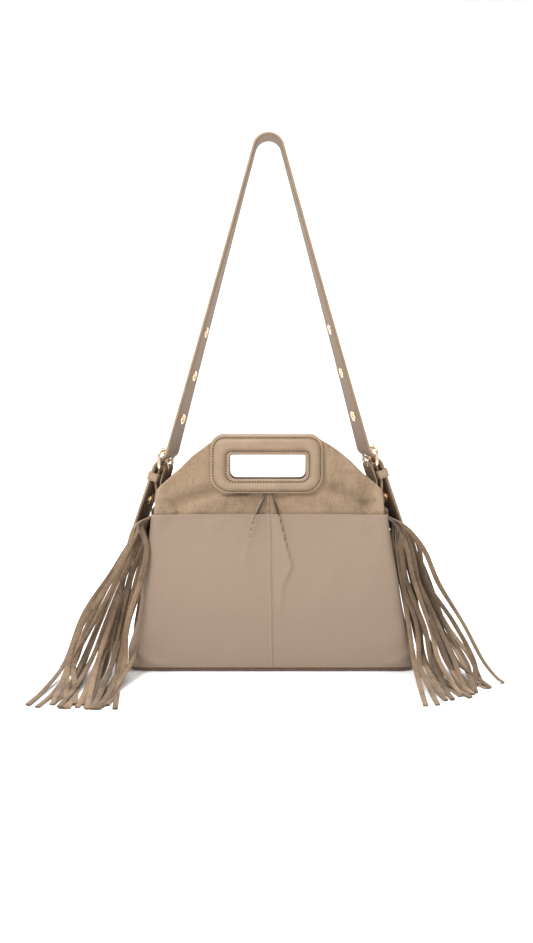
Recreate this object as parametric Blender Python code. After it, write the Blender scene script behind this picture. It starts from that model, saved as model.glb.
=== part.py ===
"""Fringed suede bag with a leather hand slot in front and back and a buckled shoulder strap.

Metres, +Z up, the front faces -Y.  The origin is the centre of the base, on the floor.
"""
import math

import bmesh
import bpy
import numpy as np
from mathutils import Matrix

# ---------------------------------------------------------------- driving dimensions
GAP = 0.0003                # clearance between touching pieces
BASE_HALF_WIDTH = 0.150
BASE_HALF_DEPTH = 0.050
BASE_CORNER = 0.014
TOP_Z = 0.248               # top of the hand slot's leather plate
TOP_SHIFT = -0.0035         # the top leans a little to -X
GUSSET_TOP_Z = 0.182
SUEDE = 0.0016              # suede thickness
LINING = 0.0006
LINING_INSET = 0.0030       # from the body's outer face to the lining
LINING_TOP_Z = 0.163
SEAM_GAP = 0.0009           # between a gusset's edge and the panels at the side seams
PIPING_RADIUS = 0.0017
PANEL_FOOT_Z = 0.0042

# (height, half value) points of the body's outline
HALF_WIDTH = [(0.000, 0.1500), (0.018, 0.1496), (0.052, 0.1400), (0.094, 0.1335), (0.145, 0.1263),
              (0.188, 0.1215), (0.194, 0.1165), (0.206, 0.1030), (0.228, 0.0790), (0.240, 0.0605),
              (0.249, 0.0450)]
CORNER_DEPTH = [(0.000, 0.0500), (0.020, 0.0505), (0.060, 0.0470), (0.100, 0.0420), (0.150, 0.0340),
                (0.188, 0.0260), (0.210, 0.0190), (0.249, 0.0105)]
CENTRE_DEPTH = [(0.000, 0.0500), (0.020, 0.0512), (0.060, 0.0510), (0.110, 0.0430), (0.160, 0.0230),
                (0.187, 0.0125), (0.205, 0.0110), (0.249, 0.0095)]
CORNER_RADIUS = [(0.000, 0.0140), (0.060, 0.0100), (0.100, 0.0060), (0.150, 0.0040), (0.188, 0.0030),
                 (0.249, 0.0015)]

PLATE_SIZE = (0.124, 0.064)         # leather plate round the hand slot, X by Z
PLATE_CENTRE = (-0.0055, 0.2160)
PLATE_RADII = (0.0145, 0.0200)      # its upper and lower corners
PLATE_THICKNESS = 0.0046
PLATE_BACK_DEPTH = (0.0164, 0.0130)  # depth of its back face at its foot and at its top
SLOT_SIZE = (0.0835, 0.0265)
SLOT_CENTRE = (-0.0040, 0.2125)
SLOT_RADII = (0.0032, 0.0070)
SNAP_Z = 0.1885             # centre of the magnetic snap
SNAP_DEPTH = 0.0089         # of its seat on each panel
SNAP_TILT = math.radians(2.5)

STRAP_WIDTH = 0.032
STRAP_THICKNESS = 0.0035
APEX_Z = 0.577              # middle of the strap's thickness at the top of its arch
APEX_RADIUS = 0.016
LEG_ANGLE = 15.0            # degrees off vertical
BUCKLE_ANGLE = 50.0         # where the strap crosses the buckle
TAIL_ANGLE = 20.0
BEND_RADIUS = 0.008
CROSSING_LENGTH = 0.0135
TAIL_LENGTH = 0.098
STRAP_TWIST = math.radians(18.0)
EYELET_PITCH = 0.0495
EYELET_RADII = (0.0030, 0.0036, 0.0060)  # bore, barrel and flange
EYELET_FLANGE = 0.0007      # thickness of a flange
STRAP_HOLE_RADIUS = 0.0039
STRAP_HOLE_TURN = math.radians(7.0)  # keeps the holes' corners off the strap's own edges
TAIL_TIP_SHARE = 0.12       # width left at the very end of a tail

BUCKLE_Z = {-1: 0.2200, 1: 0.2235}  # centre of the left and the right buckle
BUCKLE_HALF_HEIGHT = 0.0100         # from its centre to the axis of its top and bottom bars
BUCKLE_HALF_WIDTH = 0.0184
BUCKLE_CORNER = 0.005
BAR_RADIUS = 0.0017
PRONG_RADIUS = 0.0012
PRONG_CURL_START = math.radians(410.0)  # its wire starts this far round the lower bar
PRONG_REST_GAP = 0.0002     # left at the top bar
PRONG_SHAFT = [(0.008, 1.0), (0.016, 1.0), (0.0215, 0.95), (0.0232, 0.7), (0.0238, 0.3)]
TAB_WIDTH = 0.024
TAB_THICKNESS = 0.0022
PRONG_WINDOW = (0.0022, -0.0155, -0.0040)  # half width, foot and head from the buckle's centre

STRANDS = 10                # strands in one fringe layer
STRAND_WIDTH = 0.0052
STRAND_PITCH = 0.0055
STRAND_THICKNESS = 0.0014
FRINGE_TOP_Z = 0.168
FRINGE_ROOT_Z = 0.160
FRONT_SHARE = 0.35          # share of a layer's strands that spring out in front of the tail
STRAND_SWING = (0.018, 0.010)       # how far the outer and the inner layer leave the gusset
STRAND_SPRING = 0.026
KNEE_OUT = ((0.170, 0.018), (0.160, 0.008))         # for each layer: foremost strand, change to rearmost
KNEE_FORWARD = ((0.108, -0.050), (0.072, -0.040))
KNEE_Z = (0.0090, 0.0030)
TIP_OUT = {-1: (0.136, 0.094), 1: (0.142, 0.095)}   # for each side: foremost strand, change to rearmost
TIP_FORWARD = {-1: (0.178, -0.050), 1: (0.174, -0.086)}
TIP_Z = 0.0012
INNER_TIP_OUT = 0.145       # the inner layer's tips draw in towards this
INNER_TIP_SPREAD = 0.55
INNER_TIP_REACH = 0.74

SIDES = {-1: "left", 1: "right"}


# ---------------------------------------------------------------- helpers
def clear_scene():
    for old in list(bpy.data.objects):
        bpy.data.objects.remove(old, do_unlink=True)


def material(name, colour, roughness, metallic=0.0):
    """A Principled material, made once for each name."""
    found = bpy.data.materials.get(name)
    if found:
        return found
    made = bpy.data.materials.new(name)
    made.use_nodes = True
    shader = made.node_tree.nodes["Principled BSDF"]
    shader.inputs["Base Color"].default_value = (*colour, 1.0)
    shader.inputs["Roughness"].default_value = roughness
    shader.inputs["Metallic"].default_value = metallic
    return made


def suede():
    return material("suede", (0.45, 0.33, 0.21), 0.95)


def leather():
    return material("leather", (0.47, 0.35, 0.23), 0.5)


def fringe_suede():
    return material("fringe_suede", (0.33, 0.23, 0.14), 0.95)


def gold():
    return material("gold", (0.85, 0.66, 0.46), 0.2, 1.0)


def piping_leather():
    return material("piping_leather", (0.36, 0.18, 0.13), 0.6)


def lining_cloth():
    return material("lining_cloth", (0.30, 0.22, 0.16), 0.9)


def smooth_curve(points, at):
    """Value at `at` on a smooth curve through (position, value) points that never overshoots them."""
    x, y = np.array(points).T
    rise = np.diff(y) / np.diff(x)
    product = rise[:-1] * rise[1:]
    total = np.where(product > 0, rise[:-1] + rise[1:], 1.0)
    slope = np.concatenate([rise[:1], np.where(product > 0, 2 * product / total, 0.0), rise[-1:]])
    at = np.asarray(at, dtype=float)
    i = np.clip(np.searchsorted(x, at) - 1, 0, len(x) - 2)
    h = x[i + 1] - x[i]
    t = (at - x[i]) / h
    start = (2 * t**3 - 3 * t**2 + 1) * y[i] + (t**3 - 2 * t**2 + t) * h * slope[i]
    end = (3 * t**2 - 2 * t**3) * y[i + 1] + (t**3 - t**2) * h * slope[i + 1]
    return start + end


def add_object(name, vertices, faces, look, smooth_angle=None):
    """One object from world-space vertices; its faces are turned to point outwards."""
    mesh = bpy.data.meshes.new(name)
    mesh.from_pydata([tuple(v) for v in vertices], [], [tuple(f) for f in faces])
    shell = bmesh.new()
    shell.from_mesh(mesh)
    if not any(edge.is_boundary for edge in shell.edges):
        bmesh.ops.recalc_face_normals(shell, faces=shell.faces)
        if shell.calc_volume(signed=True) < 0.0:
            bmesh.ops.reverse_faces(shell, faces=shell.faces)
    shell.to_mesh(mesh)
    shell.free()
    if smooth_angle is not None:
        mesh.shade_smooth()
        mesh.set_sharp_from_angle(angle=math.radians(smooth_angle))
    mesh.materials.append(look)
    made = bpy.data.objects.new(name, mesh)
    bpy.context.collection.objects.link(made)
    return made


def set_origin(target, point):
    """Moves the object's origin to a point and leaves its shape where it is."""
    target.data.transform(Matrix.Translation([-value for value in point]))
    target.location = point


def grid_faces(rows, columns, flip=False, wrap=False):
    """Quads of a rows-by-columns grid of vertices; wrap closes each row."""
    faces = []
    last = columns if wrap else columns - 1
    for row in range(rows - 1):
        for column in range(last):
            after = (column + 1) % columns
            quad = (row * columns + column, row * columns + after,
                    (row + 1) * columns + after, (row + 1) * columns + column)
            faces.append(quad[::-1] if flip else quad)
    return faces


def tube(name, rings, look, closed=False, smooth_angle=40):
    """A closed solid through equal rings of points, capped at its ends or joined end to end."""
    count = len(rings[0])
    faces = grid_faces(len(rings), count, wrap=True)
    if closed:
        last = (len(rings) - 1) * count
        for k in range(count):
            faces.append((last + k, last + (k + 1) % count, (k + 1) % count, k))
    else:
        faces.append(tuple(range(count))[::-1])
        faces.append(tuple((len(rings) - 1) * count + k for k in range(count)))
    vertices = [point for ring in rings for point in ring]
    return add_object(name, vertices, faces, look, smooth_angle)


def triangulate(target):
    """Splits every face into triangles, so that twisted quads cut cleanly."""
    shell = bmesh.new()
    shell.from_mesh(target.data)
    bmesh.ops.triangulate(shell, faces=shell.faces)
    shell.to_mesh(target.data)
    shell.free()


def solidify(target, thickness):
    """Adds thickness on the inner side of an open sheet."""
    modifier = target.modifiers.new("thickness", "SOLIDIFY")
    modifier.thickness = thickness
    modifier.offset = -1.0
    modifier.use_even_offset = True
    modifier.use_quality_normals = True


def cut(target, cutter):
    """Cuts one closed object out of another and hides the cutter."""
    modifier = target.modifiers.new("cut_" + cutter.name, "BOOLEAN")
    modifier.operation = "DIFFERENCE"
    modifier.solver = "EXACT"
    modifier.object = cutter
    cutter.hide_render = True
    cutter.display_type = "WIRE"


def rounded_outline(size, centre, top_radius, bottom_radius, steps=4):
    """Points (x, z) round a rectangle whose top and bottom corners have their own radius."""
    points = []
    corners = [(1, 1, top_radius, 0), (-1, 1, top_radius, 90),
               (-1, -1, bottom_radius, 180), (1, -1, bottom_radius, 270)]
    for sign_x, sign_z, radius, start in corners:
        for step in range(steps + 1):
            angle = math.radians(start + 90 * step / steps)
            x = centre[0] + sign_x * (size[0] / 2 - radius) + radius * math.cos(angle)
            z = centre[1] + sign_z * (size[1] / 2 - radius) + radius * math.sin(angle)
            points.append((x, z))
    return points


def lean(z):
    """How far the body's middle has moved along X at a height."""
    return TOP_SHIFT * np.asarray(z) / TOP_Z


# ---------------------------------------------------------------- body
def front_section(z, inset=0.0, corner_steps=3, face_steps=8, middle=GAP / 2):
    """Half of the body's section at one height, as (distance from the middle, depth).

    It runs from the side seam round the corner and along the front to the middle.
    """
    width = smooth_curve(HALF_WIDTH, z) - inset
    depth = smooth_curve(CORNER_DEPTH, z) - inset
    centre = smooth_curve(CENTRE_DEPTH, z) - inset
    radius = max(smooth_curve(CORNER_RADIUS, z) - inset, 0.0006)
    turn = np.linspace(0.0, math.pi / 2, corner_steps + 1)
    corner = np.column_stack([width - radius + radius * np.cos(turn),
                              depth - radius + radius * np.sin(turn)])
    across = np.linspace(width - radius, middle, face_steps + 1)[1:]
    share = (across / (width - radius))**4
    face = np.column_stack([across, centre + (depth - centre) * share])
    return np.vstack([corner, face])


def panel(side, facing):
    """One half of the front (facing -1) or back (facing 1) of the body."""
    heights = [PANEL_FOOT_Z, 0.012, 0.022, 0.040, 0.065, 0.095, 0.125, 0.150, 0.170, 0.188,
               0.197, 0.210, 0.230, TOP_Z]
    rows = []
    for z in heights:
        section = front_section(z)
        rows += [(lean(z) + side * x, facing * y, z) for x, y in section]
    columns = len(rows) // len(heights)
    name = ("front" if facing < 0 else "back") + "_panel_" + SIDES[side]
    made = add_object(name, rows, grid_faces(len(heights), columns, flip=side * facing < 0), suede(), 60)
    solidify(made, SUEDE)
    return made


def gusset(side):
    """The side of the body, between the two side seams."""
    heights = [PANEL_FOOT_Z, 0.014, 0.030, 0.050, 0.075, 0.100, 0.130, 0.150, 0.160, 0.166, 0.174,
               GUSSET_TOP_Z]
    columns = 5
    rows = []
    for z in heights:
        edge, depth = front_section(z)[0]
        across = np.linspace(-(depth - SEAM_GAP), depth - SEAM_GAP, columns)
        rows += [(lean(z) + side * edge, y, z) for y in across]
    made = add_object("gusset_" + SIDES[side], rows, grid_faces(len(heights), columns, flip=side < 0),
                      suede(), 60)
    solidify(made, SUEDE)
    return made


def slot_cutter(name, grow):
    """A through block of the hand slot's outline."""
    size = (SLOT_SIZE[0] + 2 * grow, SLOT_SIZE[1] + 2 * grow)
    outline = rounded_outline(size, SLOT_CENTRE, SLOT_RADII[0] + grow, SLOT_RADII[1] + grow)
    rings = [[(x, y, z) for x, z in outline] for y in (-0.03, 0.03)]
    return tube(name, rings, suede())


def full_ring(z, inset):
    """The whole section of the body at one height, inset all round."""
    half = front_section(z, inset, middle=0.0)
    x, y = half[:, 0], half[:, 1]
    front_left = np.column_stack([-x, -y])
    front_right = np.column_stack([x, -y])[::-1][1:]
    back_right = np.column_stack([x, y])
    back_left = np.column_stack([-x, y])[::-1][1:]
    loop = np.vstack([front_left, front_right, back_right, back_left])
    return [(lean(z) + px, py, z) for px, py in loop]


def lining():
    """An open pouch just inside the suede, closed at its foot."""
    heights = [PANEL_FOOT_Z + GAP, 0.022, 0.040, 0.065, 0.095, 0.125, 0.150, LINING_TOP_Z]
    rings = [full_ring(z, LINING_INSET) for z in heights]
    count = len(rings[0])
    faces = grid_faces(len(rings), count, wrap=True)
    faces.append(tuple(range(count))[::-1])
    made = add_object("lining", [p for ring in rings for p in ring], faces, lining_cloth(), 60)
    solidify(made, LINING)
    return made


def slab(name, half_x, half_y, radius, low, high, look):
    """A flat rounded plate lying level."""
    outline = rounded_outline((2 * half_x, 2 * half_y), (0.0, 0.0), radius, radius)
    rings = [[(x, y, z) for x, y in outline] for z in (low, high)]
    return tube(name, rings, look)


def base():
    """The suede base, the board inside it and the piping round its edge."""
    inside = 2 * PIPING_RADIUS + GAP
    half_x = BASE_HALF_WIDTH - inside
    half_y = BASE_HALF_DEPTH - inside
    slab("base_panel", half_x, half_y, BASE_CORNER - inside, 0.0, SUEDE, suede())
    slab("base_board", half_x, half_y, BASE_CORNER - inside, SUEDE + GAP, SUEDE + GAP + 0.002,
         lining_cloth())
    centre = (BASE_HALF_WIDTH - PIPING_RADIUS, BASE_HALF_DEPTH - PIPING_RADIUS)
    outline = rounded_outline((2 * centre[0], 2 * centre[1]), (0.0, 0.0),
                              BASE_CORNER - PIPING_RADIUS, BASE_CORNER - PIPING_RADIUS, 5)
    rings = []
    for k, (x, y) in enumerate(outline):
        before = np.array(outline[k - 1])
        after = np.array(outline[(k + 1) % len(outline)])
        along = (after - before) / np.linalg.norm(after - before)
        outward = np.array([along[1], -along[0]])
        ring = []
        for step in range(8):
            angle = math.radians(45 * step)
            move = outward * PIPING_RADIUS * math.cos(angle)
            ring.append((x + move[0], y + move[1],
                         GAP + PIPING_RADIUS + PIPING_RADIUS * math.sin(angle)))
        rings.append(ring)
    tube("base_piping", rings, piping_leather(), closed=True)


def handle_plate(facing):
    """The padded leather plate round the hand slot; `facing` is -1 in front and 1 behind."""
    outer = rounded_outline(PLATE_SIZE, PLATE_CENTRE, *PLATE_RADII, 5)
    inner = rounded_outline(SLOT_SIZE, SLOT_CENTRE, *SLOT_RADII, 5)
    section = [(0.0, 0.10), (0.06, 0.80), (0.30, 1.0), (0.70, 1.0), (0.94, 0.80), (1.0, 0.10),
               (1.0, 0.0), (0.0, 0.0)]
    foot = PLATE_CENTRE[1] - PLATE_SIZE[1] / 2
    rings = []
    for a, b in zip(outer, inner):
        ring = []
        for share, height in section:
            x = a[0] + (b[0] - a[0]) * share
            z = a[1] + (b[1] - a[1]) * share
            rise = (z - foot) / PLATE_SIZE[1]
            depth = PLATE_BACK_DEPTH[0] + (PLATE_BACK_DEPTH[1] - PLATE_BACK_DEPTH[0]) * rise
            ring.append((x, facing * (depth + height * PLATE_THICKNESS), z))
        rings.append(ring)
    name = "handle_plate_" + ("front" if facing < 0 else "back")
    tube(name, rings, leather(), closed=True, smooth_angle=50)


def turned(name, profile, segments, look):
    """A body turned about local Z from (radius, height) points; closed when both ends are on the axis."""
    vertices = []
    rings = []
    for radius, height in profile:
        if radius == 0.0:
            rings.append([len(vertices)])
            vertices.append((0.0, 0.0, height))
            continue
        ring = []
        for k in range(segments):
            angle = 2 * math.pi * k / segments
            ring.append(len(vertices))
            vertices.append((radius * math.cos(angle), radius * math.sin(angle), height))
        rings.append(ring)
    pairs = list(zip(rings, rings[1:]))
    if profile[0][0] > 0.0:
        pairs.append((rings[-1], rings[0]))
    faces = []
    for low, high in pairs:
        for k in range(segments):
            after = (k + 1) % segments
            if len(low) == 1:
                faces.append((low[0], high[k], high[after]))
            elif len(high) == 1:
                faces.append((low[k], low[after], high[0]))
            else:
                faces.append((low[k], low[after], high[after], high[k]))
    return add_object(name, vertices, faces, look, 40)


# ---------------------------------------------------------------- strap


def snap_half(name, facing, stud_radius):
    """One half of the magnetic snap, on the inner face below the hand slot."""
    profile = [(0.0, 0.0), (0.0085, 0.0), (0.0090, 0.0006), (0.0086, 0.0022), (stud_radius, 0.0024),
               (stud_radius, 0.0034), (0.0, 0.0034)]
    made = turned(name, profile, 20, gold())
    tilt = Matrix.Rotation(-facing * SNAP_TILT, 4, "X")
    aim = Matrix.Rotation(facing * math.pi / 2, 4, "X")
    place = Matrix.Translation((lean(SNAP_Z), facing * SNAP_DEPTH, SNAP_Z))
    made.data.transform(place @ tilt @ aim)
    return made


def strap_segments(side):
    """The strap's run from the apex to its tail end: (length, start angle, end angle) in degrees."""
    arch_foot = APEX_Z - APEX_RADIUS + APEX_RADIUS * math.sin(math.radians(LEG_ANGLE))
    half = CROSSING_LENGTH / 2 * math.cos(math.radians(BUCKLE_ANGLE))
    rise = BEND_RADIUS * (math.sin(math.radians(BUCKLE_ANGLE)) - math.sin(math.radians(LEG_ANGLE)))
    leg_foot = BUCKLE_Z[side] + half + rise
    leg = (arch_foot - leg_foot) / math.cos(math.radians(LEG_ANGLE))
    return [(APEX_RADIUS * math.radians(90 - LEG_ANGLE), 90.0, LEG_ANGLE),
            (leg, LEG_ANGLE, LEG_ANGLE),
            (BEND_RADIUS * math.radians(BUCKLE_ANGLE - LEG_ANGLE), LEG_ANGLE, BUCKLE_ANGLE),
            (CROSSING_LENGTH, BUCKLE_ANGLE, BUCKLE_ANGLE),
            (BEND_RADIUS * math.radians(BUCKLE_ANGLE - TAIL_ANGLE), BUCKLE_ANGLE, TAIL_ANGLE),
            (TAIL_LENGTH, TAIL_ANGLE, TAIL_ANGLE)]


def strap_position(side, length):
    """(distance out, height, angle off vertical) at a length from the apex along one side."""
    out, z = 0.0, APEX_Z
    for run, start, end in strap_segments(side):
        part = min(length, run)
        angle = start + (end - start) * part / run
        first, last = math.radians(start), math.radians(angle)
        if start == end:
            out += part * math.sin(first)
            z -= part * math.cos(first)
        else:
            radius = run / math.radians(end - start)
            out += radius * (math.cos(first) - math.cos(last))
            z -= radius * (math.sin(last) - math.sin(first))
        length -= run
        if length <= 0.0:
            break
    return out, z, math.radians(angle)


def crossing_length(side):
    """Length from the apex to the middle of the buckle."""
    runs = strap_segments(side)
    return runs[0][0] + runs[1][0] + runs[2][0] + runs[3][0] / 2


def twisted_axes(side, twist):
    """Outward and along-the-bar directions, turned about Z so that the near edge stands out."""
    outward = np.array([side * math.cos(twist), math.sin(twist), 0.0])
    along = np.array([-side * math.sin(twist), math.cos(twist), 0.0])
    return outward, along


def buckle_centre(side):
    out = strap_position(side, crossing_length(side))[0]
    return np.array([TOP_SHIFT + side * out, 0.0, BUCKLE_Z[side]])


def strap_frame(side, length):
    """Centre, width direction and outward normal of the strap at a length from the apex."""
    runs = strap_segments(side)
    leg_end = runs[0][0] + runs[1][0]
    out, z, angle = strap_position(side, length)
    centre_out = strap_position(side, crossing_length(side))[0]
    share = min(max((length - runs[0][0]) / runs[1][0], 0.0), 1.0)**1.5
    outward, along = twisted_axes(side, STRAP_TWIST * share)
    if length >= leg_end:
        centre = buckle_centre(side) + (out - centre_out) * outward
    else:
        leg_out = strap_position(side, leg_end)[0]
        full = twisted_axes(side, STRAP_TWIST)[0]
        offset = (leg_out - centre_out) * (full - np.array([side, 0.0, 0.0]))
        centre = np.array([TOP_SHIFT + side * out, 0.0, 0.0]) + share * offset
    centre[2] = z
    normal = math.cos(angle) * outward + math.sin(angle) * np.array([0.0, 0.0, 1.0])
    return centre, along, normal


def strap_lengths(side):
    """Lengths from the apex at which the strap's section is placed, from apex to tail."""
    steps = [6, 24, 4, 1, 4, 5]
    lengths = []
    start = 0.0
    for (run, _, _), count in zip(strap_segments(side), steps):
        lengths += [start + run * k / count for k in range(count)]
        start += run
    return lengths + [start]


def strap_ring(side, length, width):
    centre, along, normal = strap_frame(side, length)
    half = STRAP_THICKNESS / 2
    return [centre - along * width / 2 - normal * half, centre + along * width / 2 - normal * half,
            centre + along * width / 2 + normal * half, centre - along * width / 2 + normal * half]


def tail_share(left):
    """Share of the strap's width at a distance from a tail's end: a half ellipse over its last part."""
    inside = min(left / (STRAP_WIDTH / 2), 1.0)
    return TAIL_TIP_SHARE + (1 - TAIL_TIP_SHARE) * math.sqrt(1 - (1 - inside)**2)


def strap_half(side):
    """Rings of the strap from its apex to the end of one tail."""
    lengths = strap_lengths(side)
    end = lengths[-1]
    half = STRAP_WIDTH / 2
    straight = [length for length in lengths if length < end - half]
    rounded = [end - half * (1 - math.sin(angle)) for angle in np.linspace(0.12, math.pi / 2, 6)]
    return [strap_ring(side, length, STRAP_WIDTH * tail_share(end - length))
            for length in straight + rounded]


def strap():
    """One leather strap from tail to tail, pierced for its eyelets."""
    made = tube("strap", strap_half(-1)[::-1] + strap_half(1)[1:], leather(), smooth_angle=30)
    triangulate(made)
    reach = STRAP_THICKNESS / 2 + 0.0022
    profile = [(0.0, -reach), (STRAP_HOLE_RADIUS, -reach), (STRAP_HOLE_RADIUS, reach), (0.0, reach)]
    for side in (-1, 1):
        for number in range(1, 6):
            cutter = turned(f"hole_{SIDES[side]}_{number}", profile, 16, leather())
            length = crossing_length(side) - (number - 2) * EYELET_PITCH
            turn = Matrix.Rotation(STRAP_HOLE_TURN, 4, "Z")
            cutter.data.transform(axes_matrix(side, length) @ turn)
            cut(made, cutter)
    return made


def axes_matrix(side, length):
    """Places local Z on the strap's normal and local Y along its width."""
    centre, along, normal = strap_frame(side, length)
    across = np.cross(along, normal)
    matrix = Matrix.Identity(4)
    for column, axis in enumerate((across, along, normal)):
        for row in range(3):
            matrix[row][column] = axis[row]
    for row in range(3):
        matrix[row][3] = centre[row]
    return matrix


def eyelet(side, number):
    """A two-flanged eyelet; number 1 hangs on the tail, 2 takes the prong, 3 to 5 go up the leg."""
    bore, barrel, flange = EYELET_RADII
    seat = STRAP_THICKNESS / 2 + GAP
    face = seat + EYELET_FLANGE
    rim = flange - EYELET_FLANGE
    profile = [(bore, -face), (rim, -face), (flange, -seat), (barrel, -seat),
               (barrel, seat), (flange, seat), (rim, face), (bore, face)]
    made = turned(f"eyelet_{SIDES[side]}_{number}", profile, 14, gold())
    made.data.transform(axes_matrix(side, crossing_length(side) - (number - 2) * EYELET_PITCH))


# ---------------------------------------------------------------- buckle
def buckle_point(side, out, along, up):
    """World point from buckle coordinates: outward, along the bar, up from the buckle's centre."""
    outward, bar = twisted_axes(side, STRAP_TWIST)
    return buckle_centre(side) + out * outward + along * bar + np.array([0.0, 0.0, up])


def buckle_frame(side):
    """The rounded wire frame, with its origin on its lower bar, about which it swings in the tab."""
    outline = rounded_outline((2 * BUCKLE_HALF_WIDTH, 2 * BUCKLE_HALF_HEIGHT), (0.0, 0.0),
                              BUCKLE_CORNER, BUCKLE_CORNER, 4)
    rings = []
    for k, (along, up) in enumerate(outline):
        before = np.array(outline[k - 1])
        after = np.array(outline[(k + 1) % len(outline)])
        tangent = (after - before) / np.linalg.norm(after - before)
        outward = np.array([tangent[1], -tangent[0]])
        ring = []
        for step in range(8):
            angle = math.radians(45 * step)
            move = outward * BAR_RADIUS * math.cos(angle)
            ring.append(buckle_point(side, BAR_RADIUS * math.sin(angle), along + move[0], up + move[1]))
        rings.append(ring)
    made = tube("buckle_frame_" + SIDES[side], rings, gold(), closed=True)
    set_origin(made, buckle_point(side, 0.0, 0.0, -BUCKLE_HALF_HEIGHT))


def prong(side):
    """A wire curled round the lower bar, through the eyelet and on to the top bar's outer side."""
    curl = BAR_RADIUS + GAP + PRONG_RADIUS
    reach = curl + PRONG_REST_GAP
    direction = np.array([2 * reach, 2 * BUCKLE_HALF_HEIGHT])
    direction /= np.linalg.norm(direction)
    leave = math.atan2(direction[0], -direction[1])
    path = []
    for angle in np.linspace(PRONG_CURL_START, leave, 12):
        point = (curl * math.cos(angle), -BUCKLE_HALF_HEIGHT + curl * math.sin(angle))
        tangent = (math.sin(angle), -math.cos(angle))
        path.append((point, tangent, 1.0))
    start = np.array(path[-1][0])
    for length, scale in PRONG_SHAFT:
        path.append((tuple(start + direction * length), tuple(direction), scale))
    rings = []
    for point, tangent, scale in path:
        ring = []
        for step in range(8):
            angle = math.radians(45 * step)
            side_move = PRONG_RADIUS * scale * math.cos(angle)
            plane_move = PRONG_RADIUS * scale * math.sin(angle)
            ring.append(buckle_point(side, point[0] - tangent[1] * plane_move, side_move,
                                     point[1] + tangent[0] * plane_move))
        rings.append(ring)
    made = tube("prong_" + SIDES[side], rings, gold())
    set_origin(made, buckle_point(side, 0.0, 0.0, -BUCKLE_HALF_HEIGHT))


def tab_middle(side, z):
    """Middle of the folded tab at a height, its half spread there, and its twist."""
    bar = buckle_point(side, 0.0, 0.0, -BUCKLE_HALF_HEIGHT)
    seat_z = GUSSET_TOP_Z + 0.002
    gusset_x = lean(z) + side * (smooth_curve(HALF_WIDTH, z) - SUEDE / 2)
    seat_x = lean(seat_z) + side * (smooth_curve(HALF_WIDTH, seat_z) - SUEDE / 2)
    share = min(max((z - seat_z) / (bar[2] - seat_z), 0.0), 1.0)
    x = gusset_x if share == 0.0 else seat_x + (bar[0] - seat_x) * share
    spread_bar = BAR_RADIUS + GAP + TAB_THICKNESS / 2
    spread_gusset = SUEDE / 2 + 2 * GAP + TAB_THICKNESS / 2
    spread = spread_gusset + (spread_bar - spread_gusset) * min(1.0, share * 2.5)
    twist = STRAP_TWIST * min(1.0, share * 2.0)
    return np.array([x, 0.0, z]), spread, twist


def tab(side):
    """A strip folded over the buckle's lower bar, its two leaves sewn either side of the gusset."""
    bar_z = BUCKLE_Z[side] - BUCKLE_HALF_HEIGHT
    leaf = [0.1735, 0.178, GUSSET_TOP_Z + 0.001, 0.1865, 0.1905, 0.1955, 0.2015, bar_z - 0.003]
    stations = []
    for z in leaf:
        middle, spread, twist = tab_middle(side, z)
        outward, along = twisted_axes(side, twist)
        stations.append((middle - outward * spread, -outward, along))
    middle, spread, twist = tab_middle(side, bar_z)
    outward, along = twisted_axes(side, twist)
    for angle in np.linspace(math.pi, 0.0, 9):
        radial = math.cos(angle) * outward + math.sin(angle) * np.array([0.0, 0.0, 1.0])
        stations.append((middle + radial * spread, radial, along))
    for z in leaf[::-1]:
        middle, spread, twist = tab_middle(side, z)
        outward, along = twisted_axes(side, twist)
        stations.append((middle + outward * spread, outward, along))
    rings = []
    for point, away, along in stations:
        thick = away * TAB_THICKNESS / 2
        wide = along * TAB_WIDTH / 2
        rings.append([point - thick - wide, point - thick + wide,
                      point + thick + wide, point + thick - wide])
    made = tube("buckle_tab_" + SIDES[side], rings, leather(), smooth_angle=30)
    half, foot, head = PRONG_WINDOW
    window = [(-half, foot), (half, foot), (half, head), (-half, head)]
    cutter = tube("prong_window_" + SIDES[side],
                  [[buckle_point(side, out, a, up) for a, up in window] for out in (-0.008, 0.0085)],
                  leather())
    cut(made, cutter)


def keeper(side):
    """A flat leather loop that holds the strap's tail against the tab's outer leaf."""
    tilt = math.radians(17.0)
    up = -0.0190
    z = BUCKLE_Z[side] + up
    middle, spread, _ = tab_middle(side, z)
    leaf_out = abs(middle[0] - buckle_centre(side)[0]) / math.cos(STRAP_TWIST) + spread
    length = crossing_length(side)
    while strap_position(side, length)[1] > z:
        length += 0.0001
    strap_out = strap_position(side, length)[0] - strap_position(side, crossing_length(side))[0]
    low = -(TAB_THICKNESS / 2 + 0.0008)
    high = (strap_out - leaf_out) * math.cos(tilt) + STRAP_THICKNESS / 2 + 0.0006
    half = STRAP_WIDTH / 2 + 0.0004
    wall = 0.0012
    rings = []
    corners = [(low, -half), (high, -half), (high, half), (low, half)]
    for normal, along in corners:
        out_n = normal + (wall if normal == high else -wall)
        out_a = along + (wall if along > 0 else -wall)
        ring = []
        for n, a, axial in ((normal, along, -0.0045), (out_n, out_a, -0.0045),
                            (out_n, out_a, 0.0045), (normal, along, 0.0045)):
            out = leaf_out + n * math.cos(tilt) + axial * math.sin(tilt)
            ring.append(buckle_point(side, out, a, up + n * math.sin(tilt) - axial * math.cos(tilt)))
        rings.append(ring)
    tube("strap_keeper_" + SIDES[side], rings, leather(), closed=True, smooth_angle=30)


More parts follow.
